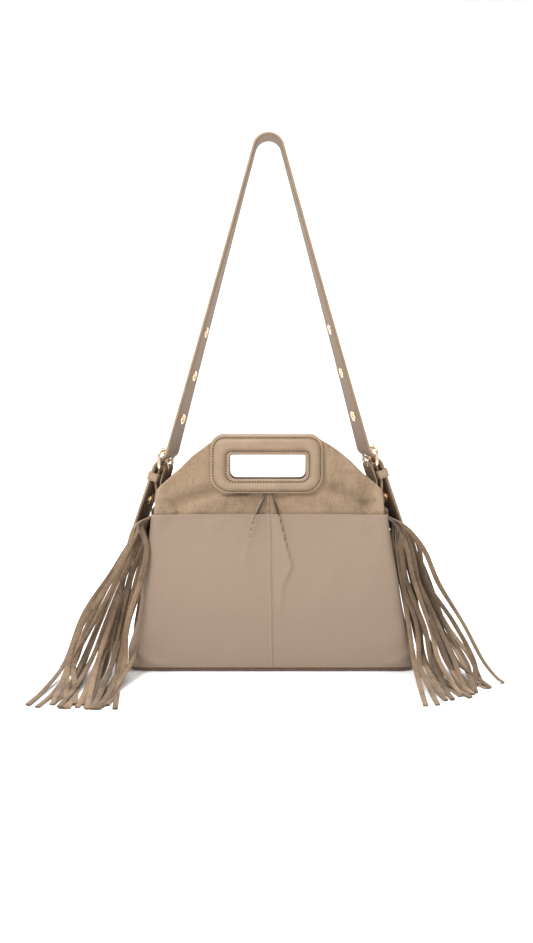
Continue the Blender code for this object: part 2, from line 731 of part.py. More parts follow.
# ---------------------------------------------------------------- fringe
def strand_path(side, layer, share, root):
    """Control points of one strand: out from its root, down and forward to its tip on the floor.

    share is 0 for the foremost strand and 1 for the rearmost.  The foremost third of the outer layer
    springs out in front of the strap's tail, and the rest drops behind it.
    """
    front = max(0.0, 1.0 - share / FRONT_SHARE) * (1 - layer)
    swing = STRAND_SWING[layer] + STRAND_SPRING * front
    leave = root + np.array([side * swing, -0.003 - 0.020 * front, -0.046 + 0.042 * front])
    out, forward, height = [values[layer] for values in (KNEE_OUT, KNEE_FORWARD, KNEE_Z)]
    knee = np.array([side * (out[0] + out[1] * share), -(forward[0] + forward[1] * share), height])
    tip_out = TIP_OUT[side][0] + TIP_OUT[side][1] * share
    tip_forward = TIP_FORWARD[side][0] + TIP_FORWARD[side][1] * share
    if layer:
        tip_out = INNER_TIP_OUT + (tip_out - INNER_TIP_OUT) * INNER_TIP_SPREAD
        tip_forward *= INNER_TIP_REACH
    tip = np.array([side * tip_out, -tip_forward, TIP_Z])
    return [root, leave, knee, tip]


def bezier(points, t):
    """Point and tangent of a cubic Bezier curve."""
    a, b, c, d = points
    s = 1 - t
    place = s**3 * a + 3 * s * s * t * b + 3 * s * t * t * c + t**3 * d
    tangent = 3 * s * s * (b - a) + 6 * s * t * (c - b) + 3 * t * t * (d - c)
    return place, tangent / np.linalg.norm(tangent)


def fringe(side, layer):
    """A suede strip sewn across the gusset, slit below its header into strands."""
    steps = 8
    columns = []
    for k in range(STRANDS):
        middle = (k - (STRANDS - 1) / 2) * STRAND_PITCH
        columns += [middle - STRAND_WIDTH / 2, middle + STRAND_WIDTH / 2]
    inner_gap = GAP + (STRAND_THICKNESS + GAP) * (1 - layer)
    vertices = []
    for y in columns:
        for z in (FRINGE_TOP_Z, FRINGE_ROOT_Z):
            face = lean(z) + side * smooth_curve(HALF_WIDTH, z)
            for offset in (inner_gap, inner_gap + STRAND_THICKNESS):
                vertices.append((face + side * offset, y, z))
    faces = [(0, 1, 3, 2)]
    for j in range(len(columns) - 1):
        a, b = 4 * j, 4 * (j + 1)
        faces += [(a, b, b + 1, a + 1), (a + 1, b + 1, b + 3, a + 3), (a, a + 2, b + 2, b)]
        if j % 2:
            faces.append((a + 2, a + 3, b + 3, b + 2))
    last = 4 * (len(columns) - 1)
    faces.append((last, last + 2, last + 3, last + 1))
    face = lean(FRINGE_ROOT_Z) + side * smooth_curve(HALF_WIDTH, FRINGE_ROOT_Z)
    for k in range(STRANDS):
        middle = (k - (STRANDS - 1) / 2) * STRAND_PITCH
        root = np.array([face + side * (inner_gap + STRAND_THICKNESS / 2), middle, FRINGE_ROOT_Z])
        points = strand_path(side, layer, k / (STRANDS - 1), root)
        a, b = 8 * k, 8 * k + 4
        ring = [a + 2, a + 3, b + 3, b + 2]
        for step in range(1, steps + 1):
            place, tangent = bezier(points, step / steps)
            along = np.array([-side * tangent[1], side * tangent[0], 0.0])
            along /= np.linalg.norm(along)
            away = np.cross(tangent, along) * side
            start = len(vertices)
            for wide, thick in ((-0.5, -0.5), (-0.5, 0.5), (0.5, 0.5), (0.5, -0.5)):
                vertices.append(place + along * wide * STRAND_WIDTH + away * thick * STRAND_THICKNESS)
            new = [start, start + 1, start + 2, start + 3]
            for e in range(4):
                faces.append((ring[e], ring[(e + 1) % 4], new[(e + 1) % 4], new[e]))
            ring = new
        faces.append(tuple(ring))
    name = "fringe_" + SIDES[side] + ("_inner" if layer else "_outer")
    add_object(name, vertices, faces, fringe_suede(), 30)


# ---------------------------------------------------------------- assembly
def build():
    clear_scene()
    cutter = slot_cutter("slot_cutter", GAP)
    for side in (-1, 1):
        for facing in (-1, 1):
            cut(panel(side, facing), cutter)
        gusset(side)
    lining()
    base()
    for facing in (-1, 1):
        handle_plate(facing)
    snap_half("snap_socket_front", -1, 0.0055)
    snap_half("snap_stud_back", 1, 0.0030)
    strap()
    for side in (-1, 1):
        for number in range(1, 6):
            eyelet(side, number)
        buckle_frame(side)
        prong(side)
        tab(side)
        keeper(side)
        for layer in (0, 1):
            fringe(side, layer)


build()
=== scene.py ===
import math

import bpy
import numpy as np
from bpy.props import FloatProperty, FloatVectorProperty, IntProperty, PointerProperty
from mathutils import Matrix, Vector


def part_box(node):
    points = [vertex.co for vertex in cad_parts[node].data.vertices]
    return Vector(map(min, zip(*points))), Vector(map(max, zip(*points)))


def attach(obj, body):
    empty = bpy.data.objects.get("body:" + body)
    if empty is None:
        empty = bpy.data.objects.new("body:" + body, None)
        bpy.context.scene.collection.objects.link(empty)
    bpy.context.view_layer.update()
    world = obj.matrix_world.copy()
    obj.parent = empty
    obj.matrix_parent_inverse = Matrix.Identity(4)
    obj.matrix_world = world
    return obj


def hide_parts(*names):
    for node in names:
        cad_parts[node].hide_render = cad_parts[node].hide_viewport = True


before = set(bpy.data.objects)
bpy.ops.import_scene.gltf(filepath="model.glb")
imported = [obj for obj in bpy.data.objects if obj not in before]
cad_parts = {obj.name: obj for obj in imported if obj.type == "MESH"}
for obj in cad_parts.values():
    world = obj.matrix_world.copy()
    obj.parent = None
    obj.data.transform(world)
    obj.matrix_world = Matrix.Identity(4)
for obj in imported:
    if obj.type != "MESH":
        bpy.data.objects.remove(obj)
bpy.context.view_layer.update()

bl_info = {
    "name": "Fringed suede bag",
    "version": (1, 0, 0),
    "blender": (4, 5, 0),
    "location": "View3D > Sidebar > Bag",
    "description": "Finishes a fringed suede bag round its packed solids",
    "category": "Object",
}

SIDES = {-1: "left", 1: "right"}

# ---------------------------------------------------------------- sizes shared with the solids
SUEDE = 0.0016
PANEL_FOOT_Z = 0.0042
LINING = 0.0006
LINING_INSET = 0.0030
LINING_FOOT_Z = 0.0046
LINING_TOP_Z = 0.163
TOP_Z = 0.248
TOP_SHIFT = -0.0035
GUSSET_TOP_Z = 0.182
HALF_WIDTH = [(0.000, 0.1500), (0.018, 0.1496), (0.052, 0.1400), (0.094, 0.1335), (0.145, 0.1263),
              (0.188, 0.1215), (0.194, 0.1165), (0.206, 0.1030), (0.228, 0.0790), (0.240, 0.0605),
              (0.249, 0.0450)]
CORNER_DEPTH = [(0.000, 0.0500), (0.020, 0.0505), (0.060, 0.0470), (0.100, 0.0420), (0.150, 0.0340),
                (0.188, 0.0260), (0.210, 0.0190), (0.249, 0.0105)]
CENTRE_DEPTH = [(0.000, 0.0500), (0.020, 0.0512), (0.060, 0.0510), (0.110, 0.0430), (0.160, 0.0230),
                (0.187, 0.0125), (0.205, 0.0110), (0.249, 0.0095)]
CORNER_RADIUS = [(0.000, 0.0140), (0.060, 0.0100), (0.100, 0.0060), (0.150, 0.0040), (0.188, 0.0030),
                 (0.249, 0.0015)]
PLATE_SIZE = (0.124, 0.064)
PLATE_CENTRE = (-0.0055, 0.2160)
PLATE_RADII = (0.0145, 0.0200)
SLOT_SIZE = (0.0835, 0.0265)
SLOT_CENTRE = (-0.0040, 0.2125)
SLOT_RADII = (0.0032, 0.0070)
STRAP_WIDTH = 0.032
STRAP_THICKNESS = 0.0035
APEX_Z = 0.577
APEX_RADIUS = 0.016
LEG_ANGLE = 15.0
BUCKLE_ANGLE = 50.0
TAIL_ANGLE = 20.0
BEND_RADIUS = 0.008
CROSSING_LENGTH = 0.0135
TAIL_LENGTH = 0.098
STRAP_TWIST = math.radians(18.0)
EYELET_PITCH = 0.0495
BUCKLE_Z = {-1: 0.2200, 1: 0.2235}
BUCKLE_HALF_HEIGHT = 0.0100
BUCKLE_HALF_WIDTH = 0.0184
BUCKLE_CORNER = 0.005
BAR_RADIUS = 0.0017
PRONG_RADIUS = 0.0012
TAB_WIDTH = 0.024
TAB_THICKNESS = 0.0022
STRANDS = 10
STRAND_WIDTH = 0.0052
STRAND_PITCH = 0.0055
STRAND_THICKNESS = 0.0014
FRINGE_TOP_Z = 0.168
FRINGE_ROOT_Z = 0.160
LENGTH_STEP = 0.00025


# ---------------------------------------------------------------- settings
def length_property(name, description, default):
    return FloatProperty(name=name, description=description, default=default, unit="LENGTH")


def colour_property(name, description, default):
    return FloatVectorProperty(name=name, description=description, default=default, size=3,
                               subtype="COLOR", min=0.0, max=1.0)


class BagBodySettings(bpy.types.PropertyGroup):
    """Sizes and colours of the suede body."""
    light: colour_property("Light suede", "Colour of the brushed-up nap", (0.355, 0.253, 0.166))
    dark: colour_property("Dark suede", "Colour of the pressed-down nap", (0.200, 0.137, 0.085))
    seam_depth: length_property("Seam depth", "Depth of the middle seam's groove", 0.0013)
    fold_depth: length_property("Fold depth", "Depth of the folds below the hand slot", 0.0080)
    piping: colour_property("Piping", "Colour of the rolled edge at the foot", (0.230, 0.140, 0.090))
    lining: colour_property("Lining", "Colour of the woven lining", (0.300, 0.220, 0.160))


class BagLeatherSettings(bpy.types.PropertyGroup):
    """Colours of the smooth leather and its thread."""
    face: colour_property("Leather", "Colour of the smooth leather", (0.325, 0.228, 0.145))
    back: colour_property("Leather back", "Colour of the strap's inner side", (0.225, 0.156, 0.103))
    edge: colour_property("Leather edge", "Colour of the painted edges", (0.320, 0.226, 0.148))
    thread: colour_property("Thread", "Colour of the dark stitching", (0.050, 0.028, 0.016))
    stitch_pitch: length_property("Stitch pitch", "Distance from stitch to stitch", 0.0030)


class BagHardwareSettings(bpy.types.PropertyGroup):
    """The plated metal."""
    gold: colour_property("Metal", "Colour of the light gold plating", (0.900, 0.680, 0.470))


class BagFringeSettings(bpy.types.PropertyGroup):
    """The suede strands at both sides."""
    # The strand colours are darker than the body suede: partly the fringe's own colour, partly painted shade for
    # the gaps between the dense strands.
    light: colour_property("Light strand", "Colour of the brushed strands", (0.235, 0.160, 0.102))
    dark: colour_property("Dark strand", "Colour of the pressed strands", (0.100, 0.064, 0.040))
    seed: IntProperty(name="Seed", description="Start of the random draws", default=7)


class BagStageSettings(bpy.types.PropertyGroup):
    """The floor, the lights and the camera."""
    floor: colour_property("Floor", "Colour of the floor", (0.93, 0.93, 0.93))
    camera_distance: length_property("Camera distance", "From the bag's middle to the camera", 1.10)
    camera_height: length_property("Camera height", "Height of the camera", 0.30)
    camera_shift: FloatProperty(name="Camera shift", description="Rise of the lens, as a share of its view",
                                default=-0.0896)
    focal_length: FloatProperty(name="Focal length", description="Lens of the camera, in millimetres",
                                default=37.95)


SETTINGS = {"bag_body": BagBodySettings, "bag_leather": BagLeatherSettings,
            "bag_hardware": BagHardwareSettings, "bag_fringe": BagFringeSettings,
            "bag_stage": BagStageSettings}


# ---------------------------------------------------------------- curves and surfaces
def smooth_curve(points, at):
    """Value on a smooth curve through (position, value) points: cubic Hermite pieces whose slope at a
    point is the harmonic mean of the slopes either side, and level at a turning point."""
    x, y = np.array(points).T
    rise = np.diff(y) / np.diff(x)
    product = rise[:-1] * rise[1:]
    total = np.where(product > 0, rise[:-1] + rise[1:], 1.0)
    slope = np.concatenate([rise[:1], np.where(product > 0, 2 * product / total, 0.0), rise[-1:]])
    at = np.asarray(at, dtype=float)
    i = np.clip(np.searchsorted(x, at) - 1, 0, len(x) - 2)
    h = x[i + 1] - x[i]
    t = (at - x[i]) / h
    start = (2 * t**3 - 3 * t**2 + 1) * y[i] + (t**3 - 2 * t**2 + t) * h * slope[i]
    end = (3 * t**2 - 2 * t**3) * y[i + 1] + (t**3 - t**2) * h * slope[i + 1]
    return start + end


def smooth_step(value, low, high):
    """0 below low, 1 above high, and 3t^2 - 2t^3 between."""
    t = np.clip((value - low) / (high - low), 0.0, 1.0)
    return t * t * (3 - 2 * t)


def lean(z):
    """How far the body's middle has moved along X at a height."""
    return TOP_SHIFT * np.asarray(z) / TOP_Z


def grid_normals(points):
    """Unit normals of a grid of points: the cross product of the differences along its two directions."""
    normal = np.cross(np.gradient(points, axis=0), np.gradient(points, axis=1))
    return normal / np.maximum(np.linalg.norm(normal, axis=2, keepdims=True), 1e-12)


def rounded_outline(size, centre, top_radius, bottom_radius, steps=12, straight=24):
    """Points (x, z) and outward normals round a rectangle with rounded corners, evenly filled between."""
    turn = np.radians(np.linspace(0.0, 90.0, steps + 1))
    pieces, normals = [], []
    corners = [(1, 1, top_radius, 0), (-1, 1, top_radius, 90), (-1, -1, bottom_radius, 180),
               (1, -1, bottom_radius, 270)]
    for sign_x, sign_z, radius, start in corners:
        angle = turn + math.radians(start)
        way = np.column_stack([np.cos(angle), np.sin(angle)])
        middle = np.array([centre[0] + sign_x * (size[0] / 2 - radius),
                           centre[1] + sign_z * (size[1] / 2 - radius)])
        pieces.append(middle + radius * way)
        normals.append(way)
    points, ways = [], []
    share = np.linspace(0.0, 1.0, straight + 2)[1:-1, None]
    for k in range(4):
        end, begin = pieces[k][-1], pieces[(k + 1) % 4][0]
        points += [pieces[k], end + (begin - end) * share]
        ways += [normals[k], np.repeat(normals[k][-1:], straight, axis=0)]
    return np.vstack(points), np.vstack(ways)


def body_section(z, t):
    """Half of the body's section: arrays of distance from the middle and depth, shaped (len(z), len(t)).

    t runs from the side seam (0) round a quarter circle to CORNER_SHARE, then along the face to the
    middle (1), where depth = centre + (corner - centre) * (distance / flat half width)^4.
    """
    width = smooth_curve(HALF_WIDTH, z)[:, None]
    depth = smooth_curve(CORNER_DEPTH, z)[:, None]
    centre = smooth_curve(CENTRE_DEPTH, z)[:, None]
    radius = smooth_curve(CORNER_RADIUS, z)[:, None]
    turn = np.clip(t / CORNER_SHARE, 0.0, 1.0)[None, :] * math.pi / 2
    along = 1.0 - np.clip((t - CORNER_SHARE) / (1 - CORNER_SHARE), 0.0, 1.0)[None, :]
    across = (width - radius) * along
    on_corner = (t < CORNER_SHARE)[None, :]
    x = np.where(on_corner, width - radius + radius * np.cos(turn), across)
    face = centre + (depth - centre) * along**4
    y = np.where(on_corner, depth - radius + radius * np.sin(turn), face)
    return x, y


CORNER_SHARE = 0.12


# ---------------------------------------------------------------- meshes
def signed_volume(vertices, faces):
    """Six times the signed volume under a list of faces, each split into a fan."""
    total = 0.0
    for group in faces:
        a = vertices[group[:, 0]]
        for k in range(1, group.shape[1] - 1):
            total += np.einsum("ij,ij->i", a, np.cross(vertices[group[:, k]], vertices[group[:, k + 1]])).sum()
    return total


def add_piece(name, vertices, faces, looks, kinds=None, body="bag", replaces=(), sharp=50,
              closed=True):
    """One object from world-space vertices and arrays of faces; it rides on a body."""
    vertices = np.asarray(vertices, dtype=float).reshape(-1, 3)
    faces = [np.asarray(group) for group in faces if len(group)]
    if closed and signed_volume(vertices, faces) < 0.0:
        faces = [group[:, ::-1] for group in faces]
    mesh = bpy.data.meshes.new(name)
    listed = [row for group in faces for row in group.tolist()]
    mesh.from_pydata(vertices.tolist(), [], listed)
    for look in looks:
        mesh.materials.append(look)
    if kinds is not None:
        mesh.polygons.foreach_set("material_index", np.concatenate(kinds).astype(np.int32))
    mesh.shade_smooth()
    mesh.set_sharp_from_angle(angle=math.radians(sharp))
    made = bpy.data.objects.new(name, mesh)
    bpy.context.scene.collection.objects.link(made)
    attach(made, body)
    if replaces:
        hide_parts(*replaces)
    return made


def grid_cells(rows, columns, wrap_rows=False, wrap_columns=False):
    """Quads of a grid of vertices, as an array of corner indices shaped (cells, 4)."""
    i = np.arange(rows if wrap_rows else rows - 1)[:, None]
    j = np.arange(columns if wrap_columns else columns - 1)[None, :]
    i, j = np.broadcast_arrays(i, j)
    low, high = i * columns, ((i + 1) % rows) * columns
    after = (j + 1) % columns
    return np.stack([low + j, low + after, high + after, high + j], axis=-1).reshape(-1, 4)


def slab(top, bottom, keep):
    """A closed sheet between two grids, with walls round its rim and round every cell left out.

    Returns vertices, [top faces, bottom faces, wall faces].
    """
    rows, columns = top.shape[:2]
    cells = grid_cells(rows, columns).reshape(rows - 1, columns - 1, 4)
    shift = rows * columns
    outside = np.pad(keep, 1)
    walls = []
    for a, b, neighbour in ((0, 1, outside[:-2, 1:-1]), (1, 2, outside[1:-1, 2:]),
                            (2, 3, outside[2:, 1:-1]), (3, 0, outside[1:-1, :-2])):
        rim = cells[keep & ~neighbour]
        walls.append(np.stack([rim[:, b], rim[:, a], rim[:, a] + shift, rim[:, b] + shift], axis=1))
    kept = cells[keep]
    vertices = np.concatenate([top.reshape(-1, 3), bottom.reshape(-1, 3)])
    faces = [kept, kept[:, ::-1] + shift, np.concatenate(walls)]
    used = np.unique(np.concatenate([group.ravel() for group in faces]))
    index = np.full(len(vertices), -1)
    index[used] = np.arange(len(used))
    return vertices[used], [index[group] for group in faces]


def sweep(path, first, second, section, closed=False, scale=None):
    """A tube: at each path point, section (a, b) is placed at path + a * first + b * second."""
    section = np.asarray(section)
    size = np.ones(len(path)) if scale is None else np.asarray(scale)
    across = size[:, None, None] * section[None, :, 0, None] * first[:, None, :]
    rise = size[:, None, None] * section[None, :, 1, None] * second[:, None, :]
    vertices = (path[:, None, :] + across + rise).reshape(-1, 3)
    rows, columns = len(path), len(section)
    faces = [grid_cells(rows, columns, wrap_rows=closed, wrap_columns=True)]
    if not closed:
        faces.append(np.arange(columns)[::-1][None, :])
        faces.append((np.arange(columns) + (rows - 1) * columns)[None, :])
    return vertices, faces


def circle(radius, count):
    """Points on a circle."""
    angle = np.linspace(0.0, 2 * math.pi, count, endpoint=False)
    return radius * np.column_stack([np.cos(angle), np.sin(angle)])


def rounded_bar(width, height, radius, steps=3):
    """Section of a flat bar with rounded corners, centred."""
    turn = np.radians(np.linspace(0, 90, steps + 1))
    rings = []
    for k, (a, b) in enumerate(((1, 1), (-1, 1), (-1, -1), (1, -1))):
        angle = turn + math.radians(90 * k)
        rings.append(np.column_stack([a * (width / 2 - radius) + radius * np.cos(angle),
                                      b * (height / 2 - radius) + radius * np.sin(angle)]))
    return np.vstack(rings)


def stitches(points, along, up, length, width, height):
    """Small long beads on a row of points: a six-sided spindle of five rings, laid along the seam."""
    across = np.cross(along, up)
    ring = circle(1.0, 6)
    stations = np.array([[-1.0, 0.35], [-0.6, 0.9], [0.0, 1.0], [0.6, 0.9], [1.0, 0.35]])
    shape = np.concatenate([np.column_stack([np.full(6, s * length / 2), ring[:, 0] * r * width / 2,
                                             ring[:, 1] * r * height / 2]) for s, r in stations])
    vertices = (points[:, None, :] + shape[None, :, 0, None] * along[:, None, :]
                + shape[None, :, 1, None] * across[:, None, :]
                + shape[None, :, 2, None] * up[:, None, :]).reshape(-1, 3)
    sides = grid_cells(len(stations), 6, wrap_columns=True)
    caps = np.array([np.arange(6)[::-1], np.arange(6) + 6 * (len(stations) - 1)])
    start = (np.arange(len(points)) * len(shape))[:, None, None]
    return vertices, [(start + sides[None]).reshape(-1, 4), (start + caps[None]).reshape(-1, 6)]


def along_row(points, pitch):
    """Even stations on a polyline: its points and unit tangents at every pitch of length."""
    step = np.linalg.norm(np.diff(points, axis=0), axis=1)
    run = np.concatenate([[0.0], np.cumsum(step)])
    count = max(int(run[-1] / pitch), 1)
    at = (np.arange(count) + 0.5) * run[-1] / count
    place = np.column_stack([np.interp(at, run, points[:, k]) for k in range(3)])
    ahead = np.column_stack([np.interp(at + pitch / 3, run, points[:, k]) for k in range(3)])
    behind = np.column_stack([np.interp(at - pitch / 3, run, points[:, k]) for k in range(3)])
    tangent = ahead - behind
    return place, tangent / np.linalg.norm(tangent, axis=1, keepdims=True), at


# ---------------------------------------------------------------- node helpers
def node(tree, kind, inputs=None, **settings):
    """Adds a node, sets its settings, and sets or links its inputs."""
    made = tree.nodes.new(kind)
    for name, value in settings.items():
        setattr(made, name, value)
    for name, value in (inputs or {}).items():
        if isinstance(value, bpy.types.NodeSocket):
            tree.links.new(value, made.inputs[name])
        else:
            made.inputs[name].default_value = value
    return made


def group_tree(name, inputs, outputs):
    """An empty shader node group with named sockets; returns it and whether it is new."""
    found = bpy.data.node_groups.get(name)
    if found:
        return found, False
    tree = bpy.data.node_groups.new(name, "ShaderNodeTree")
    for socket, kind, value in inputs:
        made = tree.interface.new_socket(socket, in_out="INPUT", socket_type=kind)
        if value is not None:
            made.default_value = value
    for socket, kind in outputs:
        tree.interface.new_socket(socket, in_out="OUTPUT", socket_type=kind)
    return tree, True


def colour(value):
    return (*value, 1.0)


def nap_group():
    """Suede nap: soft patches of brushed and pressed fibres, fine streaks, and a felt-like grain."""
    tree, new = group_tree("Suede Nap", [("Vector", "NodeSocketVector", None),
                                         ("Light", "NodeSocketColor", (1, 1, 1, 1)),
                                         ("Dark", "NodeSocketColor", (0, 0, 0, 1)),
                                         ("Patch Scale", "NodeSocketFloat", 18.0),
                                         ("Grain Scale", "NodeSocketFloat", 620.0)],
                           [("Color", "NodeSocketColor"), ("Roughness", "NodeSocketFloat"),
                            ("Height", "NodeSocketFloat")])
    if not new:
        return tree
    source = node(tree, "NodeGroupInput").outputs
    patch = node(tree, "ShaderNodeTexNoise", {"Vector": source["Vector"], "Scale": source["Patch Scale"],
                                              "Detail": 6.0, "Roughness": 0.62, "Distortion": 0.6})
    stretched = node(tree, "ShaderNodeVectorMath", {0: source["Vector"], 1: (1.0, 1.0, 0.35)},
                     operation="MULTIPLY")
    streak = node(tree, "ShaderNodeTexNoise", {"Vector": stretched.outputs[0], "Scale": 260.0,
                                               "Detail": 4.0, "Roughness": 0.6})
    grain = node(tree, "ShaderNodeTexNoise", {"Vector": source["Vector"], "Scale": source["Grain Scale"],
                                              "Detail": 3.0, "Roughness": 0.7})
    soft = node(tree, "ShaderNodeMapRange", {"Value": patch.outputs["Fac"], "From Min": 0.30,
                                             "From Max": 0.60, "To Min": 0.12, "To Max": 0.72},
                interpolation_type="SMOOTHSTEP")
    fine = node(tree, "ShaderNodeMapRange", {"Value": streak.outputs["Fac"], "From Min": 0.3,
                                             "From Max": 0.7, "To Min": -0.16, "To Max": 0.16})
    speck = node(tree, "ShaderNodeMapRange", {"Value": grain.outputs["Fac"], "From Min": 0.25,
                                              "From Max": 0.75, "To Min": -0.42, "To Max": 0.42})
    first = node(tree, "ShaderNodeMath", {0: soft.outputs[0], 1: fine.outputs[0]}, operation="ADD")
    second = node(tree, "ShaderNodeMath", {0: first.outputs[0], 1: speck.outputs[0]}, operation="ADD",
                  use_clamp=True)
    mixed = node(tree, "ShaderNodeMix", {"Factor": second.outputs[0], 6: source["Dark"],
                                         7: source["Light"]}, data_type="RGBA")
    rough = node(tree, "ShaderNodeMapRange", {"Value": grain.outputs["Fac"], "To Min": 0.86, "To Max": 1.0})
    height = node(tree, "ShaderNodeMath", {0: grain.outputs["Fac"], 1: streak.outputs["Fac"]},
                  operation="ADD")
    node(tree, "NodeGroupOutput", {"Color": mixed.outputs[2], "Roughness": rough.outputs[0],
                                   "Height": height.outputs[0]})
    return tree


def grain_group():
    """Smooth leather: a net of fine pebbles, pores, and faint handling marks."""
    tree, new = group_tree("Leather Grain", [("Vector", "NodeSocketVector", None),
                                             ("Base", "NodeSocketColor", (1, 1, 1, 1)),
                                             ("Depth", "NodeSocketFloat", 0.25),
                                             ("Scale", "NodeSocketFloat", 900.0)],
                           [("Color", "NodeSocketColor"), ("Roughness", "NodeSocketFloat"),
                            ("Height", "NodeSocketFloat")])
    if not new:
        return tree
    source = node(tree, "NodeGroupInput").outputs
    pebble = node(tree, "ShaderNodeTexVoronoi", {"Vector": source["Vector"], "Scale": source["Scale"]},
                  feature="DISTANCE_TO_EDGE")
    marks = node(tree, "ShaderNodeTexNoise", {"Vector": source["Vector"], "Scale": 55.0, "Detail": 5.0,
                                              "Roughness": 0.6})
    net = node(tree, "ShaderNodeMapRange", {"Value": pebble.outputs["Distance"], "From Max": 0.14})
    shade = node(tree, "ShaderNodeMapRange", {"Value": marks.outputs["Fac"], "From Min": 0.3,
                                              "From Max": 0.7, "To Min": 0.86, "To Max": 1.08})
    crease = node(tree, "ShaderNodeMapRange", {"Value": net.outputs[0], "To Min": 0.88, "To Max": 1.0})
    factor = node(tree, "ShaderNodeMath", {0: shade.outputs[0], 1: crease.outputs[0]}, operation="MULTIPLY")
    tinted = node(tree, "ShaderNodeVectorMath", {0: source["Base"], "Scale": factor.outputs[0]},
                  operation="SCALE")
    rough = node(tree, "ShaderNodeMapRange", {"Value": marks.outputs["Fac"], "From Min": 0.3,
                                              "From Max": 0.7, "To Min": 0.42, "To Max": 0.58})
    height = node(tree, "ShaderNodeMath", {0: net.outputs[0], 1: source["Depth"]}, operation="MULTIPLY")
    node(tree, "NodeGroupOutput", {"Color": tinted.outputs[0], "Roughness": rough.outputs[0],
                                   "Height": height.outputs[0]})
    return tree


def material(name, build):
    """The named material, built once by a function of its node tree and its Principled shader."""
    found = bpy.data.materials.get(name)
    if found:
        return found
    made = bpy.data.materials.new(name)
    made.use_nodes = True
    tree = made.node_tree
    build(tree, tree.nodes["Principled BSDF"])
    return made


def connect(tree, shader, group, strength, distance):
    """Feeds a group's colour, roughness and height to the shader."""
    tree.links.new(group.outputs["Color"], shader.inputs["Base Color"])
    tree.links.new(group.outputs["Roughness"], shader.inputs["Roughness"])
    bump = node(tree, "ShaderNodeBump", {"Height": group.outputs["Height"], "Strength": strength,
                                         "Distance": distance})
    tree.links.new(bump.outputs["Normal"], shader.inputs["Normal"])


def suede_look(name, light, dark, patch_scale=16.0, shade_and_tone=False):
    """Suede; with tone set, a per-point attribute scales its colour. It holds painted shade and light from the
    folds and sides, and random strand tone mixed with painted shade between the fringe strands.
    """
    def build(tree, shader):
        place = node(tree, "ShaderNodeTexCoord").outputs["Object"]
        group = node(tree, "ShaderNodeGroup", node_tree=nap_group())
        group.inputs["Light"].default_value = colour(light)
        group.inputs["Dark"].default_value = colour(dark)
        group.inputs["Patch Scale"].default_value = patch_scale
        tree.links.new(place, group.inputs["Vector"])
        connect(tree, shader, group, 0.35, 0.0004)
        if shade_and_tone:
            # Painted shade and light: the colour is scaled by the per-point attribute.
            own = node(tree, "ShaderNodeAttribute", attribute_name="shade_and_tone")
            scaled = node(tree, "ShaderNodeVectorMath", {0: group.outputs["Color"],
                                                         "Scale": own.outputs["Fac"]}, operation="SCALE")
            tree.links.new(scaled.outputs[0], shader.inputs["Base Color"])
        shader.inputs["Sheen Weight"].default_value = 0.35
        shader.inputs["Sheen Roughness"].default_value = 0.45
        shader.inputs["Sheen Tint"].default_value = (0.95, 0.86, 0.74, 1.0)
        shader.inputs["Specular IOR Level"].default_value = 0.12
    return material(name, build)


def leather_look(name, base, depth=0.25, scale=900.0, coat=0.08, gloss=0.4):
    def build(tree, shader):
        place = node(tree, "ShaderNodeTexCoord").outputs["Object"]
        group = node(tree, "ShaderNodeGroup", node_tree=grain_group())
        group.inputs["Base"].default_value = colour(base)
        group.inputs["Depth"].default_value = depth
        group.inputs["Scale"].default_value = scale
        tree.links.new(place, group.inputs["Vector"])
        connect(tree, shader, group, 0.4, 0.0003)
        shader.inputs["Coat Weight"].default_value = coat
        shader.inputs["Coat Roughness"].default_value = 0.35
        shader.inputs["Specular IOR Level"].default_value = gloss
    return material(name, build)


def metal_look(name, base):
    """Plated metal: fine handling haze over a polished base."""
    def build(tree, shader):
        place = node(tree, "ShaderNodeTexCoord").outputs["Object"]
        haze = node(tree, "ShaderNodeTexNoise", {"Vector": place, "Scale": 420.0, "Detail": 4.0})
        rough = node(tree, "ShaderNodeMapRange", {"Value": haze.outputs["Fac"], "From Min": 0.3,
                                                  "From Max": 0.7, "To Min": 0.10, "To Max": 0.24})
        tint = node(tree, "ShaderNodeMix", {"Factor": haze.outputs["Fac"], 6: colour(base),
                                            7: colour([value * 0.9 for value in base])}, data_type="RGBA")
        tree.links.new(tint.outputs[2], shader.inputs["Base Color"])
        tree.links.new(rough.outputs[0], shader.inputs["Roughness"])
        shader.inputs["Metallic"].default_value = 1.0
    return material(name, build)


def cloth_look(name, base):
    """Plain weave: two crossed waves with a little fibre noise."""
    def build(tree, shader):
        place = node(tree, "ShaderNodeTexCoord").outputs["Object"]
        warp = node(tree, "ShaderNodeTexWave", {"Vector": place, "Scale": 420.0}, bands_direction="X")
        weft = node(tree, "ShaderNodeTexWave", {"Vector": place, "Scale": 420.0}, bands_direction="Z")
        fibre = node(tree, "ShaderNodeTexNoise", {"Vector": place, "Scale": 900.0, "Detail": 3.0})
        weave = node(tree, "ShaderNodeMath", {0: warp.outputs["Fac"], 1: weft.outputs["Fac"]},
                     operation="MULTIPLY")
        both = node(tree, "ShaderNodeMath", {0: weave.outputs[0], 1: fibre.outputs["Fac"]}, operation="ADD")
        tint = node(tree, "ShaderNodeMix", {"Factor": both.outputs[0],
                                            6: colour([value * 0.7 for value in base]), 7: colour(base)},
                    data_type="RGBA")
        bump = node(tree, "ShaderNodeBump", {"Height": weave.outputs[0], "Strength": 0.4,
                                             "Distance": 0.0003})
        tree.links.new(tint.outputs[2], shader.inputs["Base Color"])
        tree.links.new(bump.outputs["Normal"], shader.inputs["Normal"])
        shader.inputs["Roughness"].default_value = 0.9
    return material(name, build)


def settings():
    return bpy.context.scene


def body_suede():
    own = settings().bag_body
    return suede_look("Body suede", own.light, own.dark, shade_and_tone=True)


def leather():
    return leather_look("Smooth leather", settings().bag_leather.face)


